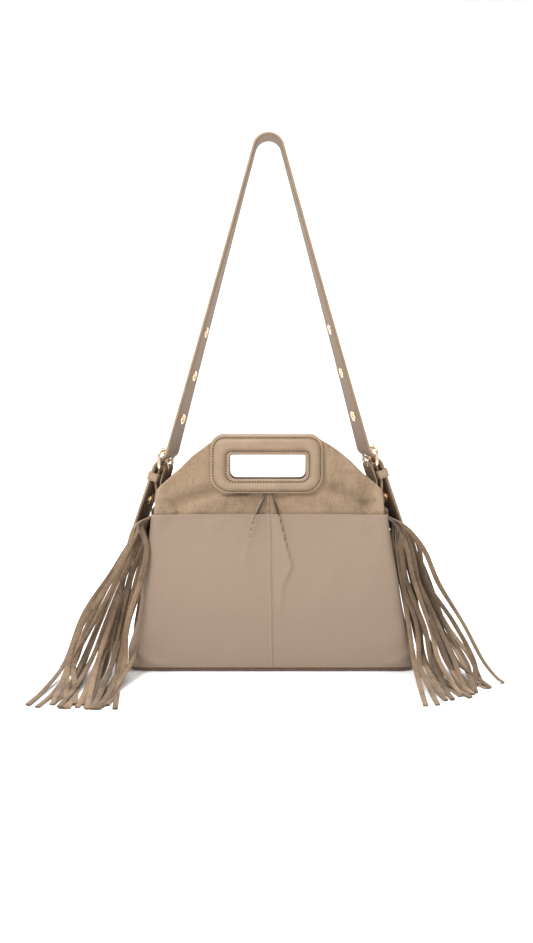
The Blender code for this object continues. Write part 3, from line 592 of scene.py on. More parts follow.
def leather_back():
    return leather_look("Leather back", settings().bag_leather.back, 0.15, 1300.0, 0.0, 0.12)


def leather_edge():
    return leather_look("Painted edge", settings().bag_leather.edge, 0.1, 1500.0, 0.0, 0.2)


def gold():
    return metal_look("Light gold", settings().bag_hardware.gold)


def thread():
    return leather_look("Dark thread", settings().bag_leather.thread, 0.5, 2500.0, 0.0)


def tan_thread():
    return leather_look("Tan thread", (0.170, 0.108, 0.066), 0.5, 2500.0, 0.0)


# ---------------------------------------------------------------- folds of the suede
def ridge(x, z, points, width, height, side_shift=0.0):
    """A soft ridge (or valley, if height is negative) along a line of (x, z) points.

    Its height falls off as exp(-(d / width)^2) with the distance d across the line, and fades over
    the first and last fifth of the line.
    """
    line = np.array(points)
    total = np.zeros(len(line))
    total[1:] = np.cumsum(np.linalg.norm(np.diff(line, axis=0), axis=1))
    fine = np.linspace(0.0, total[-1], 60)
    px = np.interp(fine, total, line[:, 0])
    pz = np.interp(fine, total, line[:, 1])
    tangent = np.column_stack([np.gradient(px), np.gradient(pz)])
    tangent /= np.linalg.norm(tangent, axis=1, keepdims=True)
    shape = x.shape
    dx = x.ravel()[:, None] - px[None, :]
    dz = z.ravel()[:, None] - pz[None, :]
    nearest = np.argmin(dx**2 + dz**2, axis=1)
    row = np.arange(len(nearest))
    across = dx[row, nearest] * tangent[nearest, 1] - dz[row, nearest] * tangent[nearest, 0]
    beyond = dx[row, nearest] * tangent[nearest, 0] + dz[row, nearest] * tangent[nearest, 1]
    share = fine[nearest] / total[-1]
    fade = smooth_step(share, 0.0, 0.2) * (1 - smooth_step(share, 0.8, 1.0))
    falloff = np.exp(-((across - side_shift)**2 + beyond**2) / width**2)
    return (height * falloff * fade).reshape(shape)


LEFT_PLEAT = [(0.085, 0.0330), (0.100, 0.0325), (0.118, 0.0292), (0.135, 0.0246), (0.155, 0.0180),
              (0.173, 0.0092), (0.187, 0.0020)]
LEFT_PLEAT_DEPTH = [(0.085, 0.0), (0.100, 0.08), (0.120, 0.42), (0.142, 0.85), (0.165, 1.0), (0.187, 0.7)]
RIGHT_PLEAT = [(0.055, 0.0115), (0.075, 0.0125), (0.092, 0.0150), (0.111, 0.0230), (0.124, 0.0197),
               (0.155, 0.0126), (0.168, 0.0090), (0.187, 0.0020)]
RIGHT_PLEAT_DEPTH = [(0.050, 0.0), (0.080, 0.22), (0.100, 0.35), (0.122, 0.70), (0.145, 1.0), (0.168, 1.1),
                     (0.187, 0.7)]
PLEAT_STEP = 0.0010
PLEAT_LIP = 0.012
PLEAT_RECESS = 0.0055


def pleat(x, z, line, strength):
    """Relief of one fold, for a depth of 1, at distances x from the middle seam.

    The fold's edge lies where |x| is the line's value at z. Outside it a soft lip stands up by
    0.35 exp(-d / PLEAT_LIP); inside, the suede drops by exp(-d / PLEAT_RECESS) and comes back level
    at the seam. The two meet over PLEAT_STEP.
    """
    over = np.abs(x) - smooth_curve(line, np.clip(z, line[0][0], line[-1][0]))
    outside = 0.5 * (1 + np.tanh(over / PLEAT_STEP))
    lip = 0.35 * np.exp(-np.maximum(over, 0.0) / PLEAT_LIP) * outside
    recess = np.exp(np.minimum(over, 0.0) / PLEAT_RECESS) * (1 - outside)
    level = 1 - np.exp(-(x / 0.003)**2)
    known = (z > strength[0][0]) & (z < strength[-1][0] + 0.002)
    amount = smooth_curve(strength, np.clip(z, strength[0][0], strength[-1][0]))
    return np.where(known, amount * (lip - recess) * level, 0.0)


def pleat_edge_shade(x, z, line, strength):
    """How strongly the painted shade along a fold's edge shows at distances x from the middle seam:
    exp(-(d / 1.5 mm)^2) just inside the edge."""
    over = np.abs(x) - smooth_curve(line, np.clip(z, line[0][0], line[-1][0])) + 0.0006
    amount = smooth_curve(strength, np.clip(z, strength[0][0], strength[-1][0]))
    return np.where(z > strength[0][0], amount * np.exp(-(over / 0.0015)**2), 0.0)


def undulation(x, z, seed):
    """Gentle unevenness of hung suede: a sum of eight seeded plane waves."""
    draw = np.random.default_rng(seed)
    total = np.zeros_like(x)
    for _ in range(8):
        angle = draw.uniform(0, math.pi)
        wave = draw.uniform(0.03, 0.09)
        phase = draw.uniform(0, 2 * math.pi)
        total += np.sin(2 * math.pi * (x * math.cos(angle) + z * math.sin(angle)) / wave + phase)
    return total / 8


def body_relief(x, z, facing):
    """Everything that lifts or sinks the suede from its plain section, in metres along its normal."""
    own = settings().bag_body
    relief = 0.0011 * undulation(x, z, 11 + facing) * smooth_step(z, 0.0, 0.03)
    relief -= own.seam_depth * np.exp(-(x / 0.0014)**2)
    relief += 0.0004 * np.exp(-((np.abs(x) - 0.0034) / 0.0014)**2)
    relief -= 0.0003 * np.exp(-((z - 0.0090) / 0.0012)**2)
    deep = own.fold_depth
    if facing < 0:
        relief += deep * np.where(x < 0, pleat(x, z, LEFT_PLEAT, LEFT_PLEAT_DEPTH),
                                  pleat(x, z, RIGHT_PLEAT, RIGHT_PLEAT_DEPTH))
        relief += ridge(x, z, [(-0.012, 0.184), (-0.045, 0.174), (-0.098, 0.160)], 0.0050, -0.30 * deep)
        relief += ridge(x, z, [(-0.012, 0.180), (-0.040, 0.163), (-0.075, 0.140)], 0.0055, -0.22 * deep)
        relief += ridge(x, z, [(-0.010, 0.186), (-0.050, 0.183), (-0.110, 0.171)], 0.0035, 0.22 * deep)
        relief += ridge(x, z, [(-0.117, 0.183), (-0.108, 0.176), (-0.100, 0.162)], 0.0030, -0.35 * deep)
        relief += ridge(x, z, [(-0.121, 0.174), (-0.116, 0.166), (-0.113, 0.154)], 0.0025, -0.25 * deep)
        relief += ridge(x, z, [(0.118, 0.182), (0.108, 0.177), (0.094, 0.175)], 0.0032, -0.35 * deep)
        relief += ridge(x, z, [(-0.119, 0.176), (-0.090, 0.184), (-0.050, 0.196)], 0.0065, -0.55 * deep)
        relief += ridge(x, z, [(-0.116, 0.186), (-0.095, 0.172), (-0.080, 0.150)], 0.0060, 0.25 * deep)
        relief += ridge(x, z, [(0.012, 0.182), (0.050, 0.172), (0.085, 0.160)], 0.0080, -0.25 * deep)
        relief += ridge(x, z, [(0.060, 0.195), (0.090, 0.184), (0.112, 0.170)], 0.0070, -0.50 * deep)
        relief += ridge(x, z, [(0.075, 0.178), (0.095, 0.165), (0.105, 0.140)], 0.0075, -0.30 * deep)
        relief += ridge(x, z, [(-0.149, 0.026), (-0.128, 0.012), (-0.100, 0.003)], 0.0032, -0.40 * deep)
        relief += ridge(x, z, [(0.148, 0.024), (0.136, 0.013), (0.118, 0.006)], 0.0042, -0.28 * deep)
    else:
        for sign in (-1, 1):
            relief += ridge(x, z, [(sign * 0.003, 0.186), (sign * 0.012, 0.160), (sign * 0.020, 0.120)],
                            0.0024, -0.7 * deep)
            relief += ridge(x, z, [(sign * 0.110, 0.176), (sign * 0.085, 0.184), (sign * 0.050, 0.194)],
                            0.0070, -0.6 * deep)
    return relief * smooth_step(z, PANEL_FOOT_Z, 0.008)


def in_outline(x, z, size, centre, grow):
    """True inside a rectangle grown by a margin."""
    return (np.abs(x - centre[0]) < size[0] / 2 + grow) & (np.abs(z - centre[1]) < size[1] / 2 + grow)


def panel_grid(side, facing):
    """One half panel as a grid of points: its section at each height, raised by the relief."""
    rows, columns = (214, 150) if facing < 0 else (130, 90)
    z = np.concatenate([np.linspace(PANEL_FOOT_Z, 0.03, 30, endpoint=False),
                        np.linspace(0.03, TOP_Z, rows - 30)])
    s = np.linspace(0.0, 1.0, columns)
    t = 1 - (1 - s)**1.5
    distance, depth = body_section(z, t)
    heights = np.repeat(z[:, None], columns, axis=1)
    distance = np.maximum(distance, 0.00015)
    points = np.stack([lean(heights) + side * distance, facing * depth, heights], axis=2)
    normal = grid_normals(points) * (side * facing)
    relief = body_relief(side * distance, heights, facing)
    return points + relief[:, :, None] * normal, normal, relief


def add_body_panel(side, facing):
    points, _, relief = panel_grid(side, facing)
    rows, columns = points.shape[:2]
    cells = grid_cells(rows, columns).reshape(rows - 1, columns - 1, 4)
    middle = points[:-1, :-1] * 0.25 + points[1:, :-1] * 0.25 + points[:-1, 1:] * 0.25 + points[1:, 1:] * 0.25
    keep = ~in_outline(middle[:, :, 0], middle[:, :, 2], SLOT_SIZE, SLOT_CENTRE, 0.0015)
    kept = cells[keep]
    used = np.unique(kept)
    index = np.full(rows * columns, -1)
    index[used] = np.arange(len(used))
    faces = index[kept]
    if side * facing < 0:
        faces = faces[:, ::-1]
    name = ("front" if facing < 0 else "back") + "_suede_" + SIDES[side]
    node_name = ("front" if facing < 0 else "back") + "_panel_" + SIDES[side]
    made = add_piece(name, points.reshape(-1, 3)[used], [faces], [body_suede()], replaces=[node_name],
                     closed=False)
    thicken(made, SUEDE)
    # Painted shade and light: the colour is darkened in the fold valleys, to about half, and lightened by up to a
    # tenth on the ridges, following the relief.
    shade_and_tone = 1.0 + 0.55 * np.clip(relief / context_fold(), -0.9, 0.20)
    if facing < 0:
        x = points[:, :, 0] - lean(points[:, :, 2])
        folds = (LEFT_PLEAT, LEFT_PLEAT_DEPTH) if side < 0 else (RIGHT_PLEAT, RIGHT_PLEAT_DEPTH)
        # Painted shade: a narrow dark line just inside each fold's edge below the hand slot.
        shade_and_tone -= 0.48 * pleat_edge_shade(x, points[:, :, 2], *folds)
    set_shade_and_tone(made, shade_and_tone.ravel()[used])
    return made


def context_fold():
    return settings().bag_body.fold_depth


def set_shade_and_tone(made, values):
    """Writes the per-point attribute that the suede scales its colour by: painted shade and light, and random
    strand tone.
    """
    shade_and_tone = made.data.attributes.new("shade_and_tone", "FLOAT", "POINT")
    shade_and_tone.data.foreach_set("value", np.asarray(values).astype(np.float32))


def thicken(made, thickness):
    modifier = made.modifiers.new("thickness", "SOLIDIFY")
    modifier.thickness = thickness
    modifier.offset = -1.0
    modifier.use_even_offset = False


# ---------------------------------------------------------------- operators
class BAG_OT_body(bpy.types.Operator):
    """Make the suede panels, gussets, base and piping"""
    bl_idname = "fringed_bag.body"
    bl_label = "Suede body"

    def execute(self, context):
        for side in (-1, 1):
            for facing in (-1, 1):
                add_body_panel(side, facing)
            self.gusset(side)
        self.piping()
        self.seam_stitches()
        own = context.scene.bag_body
        self.lining(own.lining)
        self.base(own)
        finish_node("base_board", cloth_look("Board cover", own.lining))
        return {"FINISHED"}

    def lining(self, tint, rows=70, columns=50):
        """A bag of thin cloth: the body's section set in by LINING_INSET, following its folds."""
        z = np.linspace(LINING_FOOT_Z, LINING_TOP_Z, rows)
        t = 1 - (1 - np.linspace(0.0, 1.0, columns))**1.5
        distance, depth = body_section(z, t)
        heights = np.repeat(z[:, None], columns, axis=1)
        quarters = []
        for side, facing in ((1, -1), (-1, -1), (-1, 1), (1, 1)):
            points = np.stack([lean(heights) + side * np.maximum(distance, 0.0003), facing * depth, heights],
                              axis=2)
            normal = grid_normals(points) * (side * facing)
            sunk = np.minimum(body_relief(side * distance, heights, facing), 0.0)
            quarter = points + (sunk - LINING_INSET)[:, :, None] * normal
            quarter[:, :, 2] = heights
            quarters.append(quarter if side * facing < 0 else quarter[:, ::-1])
        points = np.concatenate(quarters, axis=1)
        faces = [grid_cells(rows, points.shape[1], wrap_columns=True)[:, ::-1],
                 np.arange(points.shape[1])[None, :]]
        made = add_piece("lining_cloth", points, faces, [cloth_look("Lining cloth", tint)],
                         replaces=["lining"], closed=False)
        thicken(made, LINING)

    def base(self, own):
        """The suede under the foot: a thin rounded rectangle with a softened rim."""
        low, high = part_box("base_panel")
        soft = 0.0004
        size = (high[0] - low[0], high[1] - low[1])
        rings = []
        for inset, z in ((soft, low[2]), (0.0, low[2] + soft), (0.0, high[2] - soft), (soft, high[2])):
            ring, _ = rounded_outline((size[0] - 2 * inset, size[1] - 2 * inset), (0.0, 0.0), 0.010, 0.010)
            rings.append(np.column_stack([ring, np.full(len(ring), z)]))
        count = len(rings[0])
        faces = [grid_cells(len(rings), count, wrap_columns=True), np.arange(count)[::-1][None, :],
                 (np.arange(count) + (len(rings) - 1) * count)[None, :]]
        add_piece("base_suede", np.vstack(rings), faces, [suede_look("Base suede", own.light, own.dark)],
                  replaces=["base_panel"])

    def gusset(self, side, rows=120, columns=44):
        """A sheet between the side seams, drawn in a little along its middle."""
        z = np.linspace(PANEL_FOOT_Z, GUSSET_TOP_Z, rows)
        edge, depth = body_section(z, np.array([0.0]))
        across = np.linspace(-1.0, 1.0, columns)[None, :]
        y = across * (depth - 0.0006)
        heights = np.repeat(z[:, None], columns, axis=1)
        pull = 0.0030 * (1 - across**2)**2 * smooth_step(heights, 0.02, 0.10)
        pull *= 1 - smooth_step(heights, 0.145, 0.165)
        x = edge - pull + 0.0006 * undulation(y * 1.5, heights, 31 + side) * (1 - across**2)
        points = np.stack([lean(heights) + side * x, y, heights], axis=2)
        faces = grid_cells(rows, columns)
        if side < 0:
            faces = faces[:, ::-1]
        made = add_piece("gusset_suede_" + SIDES[side], points, [faces], [body_suede()],
                         replaces=["gusset_" + SIDES[side]], closed=False)
        # The side sheets are scaled to 0.94 of the suede colour: painted shade on the sides turned from the light.
        set_shade_and_tone(made, np.full(rows * columns, 0.94))
        thicken(made, SUEDE)

    def piping(self):
        """A cord of leather round the foot: a circle carried round a rounded rectangle."""
        low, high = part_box("base_piping")
        radius = (high[2] - low[2]) / 2
        size = (high[0] - low[0] - 2 * radius, high[1] - low[1] - 2 * radius)
        outline, ways = rounded_outline(size, (0.0, 0.0), 0.0123, 0.0123, 10, 60)
        path = np.column_stack([outline, np.full(len(outline), low[2] + radius)])
        first = np.column_stack([ways, np.zeros(len(ways))])
        second = np.repeat([[0.0, 0.0, 1.0]], len(path), axis=0)
        vertices, faces = sweep(path, first, second, circle(radius, 14), closed=True)
        add_piece("foot_piping", vertices, faces,
                  [leather_look("Piping leather", context_piping(), 0.3, 1200.0, 0.1)],
                  replaces=["base_piping"])

    def seam_stitches(self):
        """Rows of tone-on-tone stitches either side of the middle seam and along the foot."""
        groups = []
        for facing in (-1, 1):
            for side in (-1, 1):
                points, normal, _ = panel_grid(side, facing)
                column = np.argmin(np.abs(np.abs(points[5, :, 0] - lean(points[5, 0, 2])) - 0.0030))
                rows = (points[:, column, 2] > 0.008) & (points[:, column, 2] < 0.186)
                groups.append((points[rows, column], normal[rows, column], 0.0021))
                row = np.argmin(np.abs(points[:, 0, 2] - 0.0090))
                groups.append((points[row, 6:-3], normal[row, 6:-3], 0.0026))
        all_vertices, all_faces, start = [], [[], []], 0
        for line, normal, pitch in groups:
            place, tangent, at = along_row(line, pitch)
            run = np.concatenate([[0.0], np.cumsum(np.linalg.norm(np.diff(line, axis=0), axis=1))])
            up = np.column_stack([np.interp(at, run, normal[:, k]) for k in range(3)])
            vertices, faces = stitches(place + up * 0.0001, tangent, up, pitch * 0.62, 0.0007, 0.0007)
            all_vertices.append(vertices)
            for k, group in enumerate(faces):
                all_faces[k].append(group + start)
            start += len(vertices)
        add_piece("seam_stitches", np.vstack(all_vertices), [np.vstack(group) for group in all_faces],
                  [tan_thread()], sharp=80)


def context_piping():
    return settings().bag_body.piping


def finish_node(name, look):
    """Gives a packed solid that keeps its shape a finished material."""
    target = bpy.data.objects[name]
    target.data.materials.clear()
    target.data.materials.append(look)


# ---------------------------------------------------------------- hand slot plates
PLATE_PROFILE = [(0.000, 0.0000), (0.012, 0.0014), (0.045, 0.0025), (0.085, 0.0027), (0.120, 0.0026),
                 (0.150, 0.0024), (0.185, 0.0025), (0.225, 0.0034), (0.300, 0.0048), (0.400, 0.0058),
                 (0.500, 0.0061), (0.600, 0.0058), (0.700, 0.0047), (0.765, 0.0029), (0.800, 0.0024),
                 (0.835, 0.0024), (0.875, 0.0025), (0.925, 0.0027), (0.975, 0.0019), (1.000, 0.0000)]
PLATE_STITCH_SHARES = (0.158, 0.812)
PLATE_BASE_DEPTH = (0.0152, 0.0116)


def plate_point(share, index, facing, lift):
    """Points on the plate: share runs from the outer outline to the slot, lift stands off its base."""
    outer, _ = rounded_outline(PLATE_SIZE, PLATE_CENTRE, *PLATE_RADII)
    inner, _ = rounded_outline(SLOT_SIZE, SLOT_CENTRE, *SLOT_RADII)
    flat = outer[index] + (inner[index] - outer[index]) * np.asarray(share)[..., None]
    rise = (flat[..., 1] - (PLATE_CENTRE[1] - PLATE_SIZE[1] / 2)) / PLATE_SIZE[1]
    depth = PLATE_BASE_DEPTH[0] + (PLATE_BASE_DEPTH[1] - PLATE_BASE_DEPTH[0]) * rise + lift
    return np.stack([flat[..., 0], facing * depth, flat[..., 1]], axis=-1)


class BAG_OT_plates(bpy.types.Operator):
    """Make the padded leather plates round the hand slot, and their stitches"""
    bl_idname = "fringed_bag.plates"
    bl_label = "Hand slot plates"

    def execute(self, context):
        for facing in (-1, 1):
            self.plate(facing)
            self.stitch_rows(facing, context.scene.bag_leather.stitch_pitch)
        return {"FINISHED"}

    def plate(self, facing):
        """A padded ring: the profile's height over its base, carried from the outline to the slot."""
        count = len(rounded_outline(PLATE_SIZE, PLATE_CENTRE, *PLATE_RADII)[0])
        share = np.concatenate([np.linspace(0.0, 0.04, 6)[:-1], np.linspace(0.04, 0.96, 44),
                                np.linspace(0.96, 1.0, 6)[1:]])
        lift = smooth_curve(PLATE_PROFILE, share)
        index = np.arange(count)[:, None]
        front = plate_point(np.repeat(share[None, :], count, axis=0), index, facing, lift[None, :])
        back_share = np.array([1.0, 1.0, 0.5, 0.0])
        back_lift = np.array([-0.0012, -0.0034, -0.0030, -0.0020])
        back = plate_point(np.repeat(back_share[None, :], count, axis=0), index, facing, back_lift[None, :])
        points = np.concatenate([front, back], axis=1)
        faces = [grid_cells(count, points.shape[1], wrap_rows=True, wrap_columns=True)]
        made = add_piece("hand_plate_" + ("front" if facing < 0 else "back"), points, faces, [leather()],
                         replaces=["handle_plate_" + ("front" if facing < 0 else "back")],
                         sharp=70)

    def stitch_rows(self, facing, pitch):
        """Dark stitches sunk in the two grooves of the plate."""
        all_vertices, all_faces, start = [], [[], []], 0
        count = len(rounded_outline(PLATE_SIZE, PLATE_CENTRE, *PLATE_RADII)[0])
        for share in PLATE_STITCH_SHARES:
            index = np.concatenate([np.arange(count), [0]])
            line = plate_point(np.full(count + 1, share), index, facing, 0.0026)
            place, tangent, _ = along_row(line, pitch)
            up = np.repeat([[0.0, float(facing), 0.0]], len(place), axis=0)
            vertices, faces = stitches(place, tangent, up, pitch * 0.52, 0.0016, 0.0012)
            all_vertices.append(vertices)
            for k, group in enumerate(faces):
                all_faces[k].append(group + start)
            start += len(vertices)
        add_piece("plate_stitches_" + ("front" if facing < 0 else "back"), np.vstack(all_vertices),
                  [np.vstack(group) for group in all_faces], [thread()], sharp=80)


# ---------------------------------------------------------------- strap
def strap_breaks(side):
    """Lengths from the apex where the strap's curvature changes, and its angle off vertical there."""
    arch_foot = APEX_Z - APEX_RADIUS + APEX_RADIUS * math.sin(math.radians(LEG_ANGLE))
    half = CROSSING_LENGTH / 2 * math.cos(math.radians(BUCKLE_ANGLE))
    rise = BEND_RADIUS * (math.sin(math.radians(BUCKLE_ANGLE)) - math.sin(math.radians(LEG_ANGLE)))
    leg = (arch_foot - BUCKLE_Z[side] - half - rise) / math.cos(math.radians(LEG_ANGLE))
    runs = [APEX_RADIUS * math.radians(90 - LEG_ANGLE), leg,
            BEND_RADIUS * math.radians(BUCKLE_ANGLE - LEG_ANGLE), CROSSING_LENGTH,
            BEND_RADIUS * math.radians(BUCKLE_ANGLE - TAIL_ANGLE), TAIL_LENGTH]
    angles = [90.0, LEG_ANGLE, LEG_ANGLE, BUCKLE_ANGLE, BUCKLE_ANGLE, TAIL_ANGLE, TAIL_ANGLE]
    return np.concatenate([[0.0], np.cumsum(runs)]), np.radians(angles)


def strap_plane(side, length):
    """Distance out, height and angle at lengths from the apex: the integral of the strap's direction."""
    breaks, angles = strap_breaks(side)
    fine = np.arange(0.0, breaks[-1] + LENGTH_STEP, LENGTH_STEP)
    angle = np.interp(fine, breaks, angles)
    middle = (angle[:-1] + angle[1:]) / 2
    out = np.concatenate([[0.0], np.cumsum(np.sin(middle) * LENGTH_STEP)])
    fall = np.concatenate([[0.0], np.cumsum(np.cos(middle) * LENGTH_STEP)])
    return (np.interp(length, fine, out), APEX_Z - np.interp(length, fine, fall),
            np.interp(length, breaks, angles))


def crossing_length(side):
    breaks, _ = strap_breaks(side)
    return (breaks[3] + breaks[4]) / 2


def twisted_axes(side, twist):
    """Outward and along-the-bar directions at a twist about Z, as arrays (n, 3)."""
    twist = np.atleast_1d(np.asarray(twist, dtype=float))
    zero = np.zeros_like(twist)
    outward = np.stack([side * np.cos(twist), np.sin(twist), zero], axis=-1)
    along = np.stack([-side * np.sin(twist), np.cos(twist), zero], axis=-1)
    return outward, along


def buckle_centre(side):
    out = float(strap_plane(side, crossing_length(side))[0])
    return np.array([TOP_SHIFT + side * out, 0.0, BUCKLE_Z[side]])


def strap_axes(side, length):
    """Centre, width direction and outward normal of the strap at lengths from the apex."""
    length = np.atleast_1d(np.asarray(length, dtype=float))
    breaks, _ = strap_breaks(side)
    out, z, angle = strap_plane(side, length)
    centre_out = float(strap_plane(side, crossing_length(side))[0])
    leg_out = float(strap_plane(side, breaks[2])[0])
    share = np.clip((length - breaks[1]) / (breaks[2] - breaks[1]), 0.0, 1.0)**1.5
    outward, along = twisted_axes(side, STRAP_TWIST * share)
    full = twisted_axes(side, STRAP_TWIST)[0][0]
    offset = (leg_out - centre_out) * (full - np.array([side, 0.0, 0.0]))
    leg = np.column_stack([TOP_SHIFT + side * out, np.zeros_like(out), z]) + share[:, None] * offset
    tail = buckle_centre(side)[None, :] + (out - centre_out)[:, None] * outward
    tail[:, 2] = z
    centre = np.where((length >= breaks[2])[:, None], tail, leg)
    normal = np.cos(angle)[:, None] * outward + np.sin(angle)[:, None] * np.array([[0.0, 0.0, 1.0]])
    return centre, along, normal


def strap_edge_share(left):
    """Half width share near a tail end: a half ellipse over the last half width of length."""
    half = STRAP_WIDTH / 2
    inside = np.clip(left / half, 0.0, 1.0)
    return 0.12 + 0.88 * np.sqrt(1 - (1 - inside)**2)


class BAG_OT_strap(bpy.types.Operator):
    """Make the strap with its painted edges, eyelet holes and stitches"""
    bl_idname = "fringed_bag.strap"
    bl_label = "Strap"

    def execute(self, context):
        centre, along, normal, station, side_of, width = self.stations()
        across = np.concatenate([[-1.0, -0.985, -0.95], np.linspace(-0.90, 0.90, 25), [0.95, 0.985, 1.0]])
        edge = np.clip((1 - np.abs(across)) / 0.075, 0.0, 1.0)
        half = STRAP_THICKNESS / 2 * (0.35 + 0.65 * np.sqrt(1 - (1 - edge)**2))
        bead = 0.00035 * np.exp(-((np.abs(across) - 0.90) / 0.05)**2)
        groove = 0.00028 * np.exp(-((np.abs(across) - 0.80) / 0.025)**2)
        raised = 0.00018 * (1 - smooth_step(np.abs(across), 0.60, 0.74))
        outer = half + raised - groove
        inner = half - groove * 0.6 + bead * 0.3
        spread = (across * STRAP_WIDTH / 2)[None, :, None] * width[:, None, None] * along[:, None, :]
        top = centre[:, None, :] + spread + outer[None, :, None] * normal[:, None, :]
        bottom = centre[:, None, :] + spread - inner[None, :, None] * normal[:, None, :]
        keep = np.ones((len(centre) - 1, len(across) - 1), dtype=bool)
        cell_s = (station[:-1] + station[1:]) / 2
        cell_v = (across[:-1] + across[1:]) / 2 * STRAP_WIDTH / 2
        cell_side = side_of[1:]
        for side in (-1, 1):
            for k in range(-1, 4):
                hole = crossing_length(side) - k * EYELET_PITCH
                near = (cell_s[:, None] - hole)**2 + cell_v[None, :]**2 < 0.0046**2
                keep &= ~(near & (cell_side == side)[:, None])
        vertices, faces = slab(top, bottom, keep)
        kinds = [np.zeros(len(faces[0])), np.ones(len(faces[1])), np.full(len(faces[2]), 2)]
        add_piece("shoulder_strap", vertices, faces, [leather(), leather_back(), leather_edge()], kinds,
                  replaces=["strap"], sharp=60)
        self.stitch_rows(centre, along, normal, width)
        return {"FINISHED"}

    def stations(self):
        """The strap's axes from the left tail, over the apex, to the right tail."""
        parts = []
        for side in (-1, 1):
            breaks, _ = strap_breaks(side)
            length = np.concatenate([np.linspace(0.0, breaks[1], 24, endpoint=False),
                                     np.arange(breaks[1], breaks[2] - 0.004, 0.0024),
                                     np.linspace(breaks[2] - 0.004, breaks[5], 40, endpoint=False),
                                     np.arange(breaks[5], breaks[6] - 0.018, 0.0016),
                                     np.linspace(breaks[6] - 0.016, breaks[6], 18)])
            centre, along, normal = strap_axes(side, length)
            parts.append((centre, along, normal, length, np.full(len(length), side),
                          strap_edge_share(breaks[6] - length)))
        left, right = parts
        return [np.concatenate([a[::-1], b[1:]]) for a, b in zip(left, right)]

    def stitch_rows(self, centre, along, normal, width):
        """Two rows of tan stitches on the outer face, either side of its raised middle."""
        whole = width > 0.97
        all_vertices, all_faces, start = [], [[], []], 0
        for sign in (-1, 1):
            line = centre[whole] + sign * 0.80 * STRAP_WIDTH / 2 * along[whole]
            line = line + (STRAP_THICKNESS / 2 - 0.0002) * normal[whole]
            place, tangent, at = along_row(line, 0.0030)
            run = np.concatenate([[0.0], np.cumsum(np.linalg.norm(np.diff(line, axis=0), axis=1))])
            up = np.column_stack([np.interp(at, run, normal[whole][:, k]) for k in range(3)])
            vertices, faces = stitches(place, tangent, up, 0.0022, 0.0006, 0.0006)
            all_vertices.append(vertices)
            for k, group in enumerate(faces):
                all_faces[k].append(group + start)
            start += len(vertices)
        add_piece("strap_stitches", np.vstack(all_vertices), [np.vstack(group) for group in all_faces],
                  [tan_thread()], sharp=80)


# ---------------------------------------------------------------- metal
def revolve(profile, count):
    """A closed ring turned about Z from (radius, height) points, as a grid (count, points, 3)."""
    angle = np.linspace(0.0, 2 * math.pi, count, endpoint=False)[:, None]
    radius, height = np.array(profile).T
    return np.stack([radius * np.cos(angle), radius * np.sin(angle), np.broadcast_to(height, (count, len(height)))],
                    axis=2)


def buckle_points(side, out, along, up):
    """World points from arrays of buckle coordinates: outward, along the bar, up from its centre."""
    outward, bar = twisted_axes(side, STRAP_TWIST)
    lift = np.array([0.0, 0.0, 1.0])
    return (buckle_centre(side) + np.asarray(out)[..., None] * outward[0]
            + np.asarray(along)[..., None] * bar[0] + np.asarray(up)[..., None] * lift)


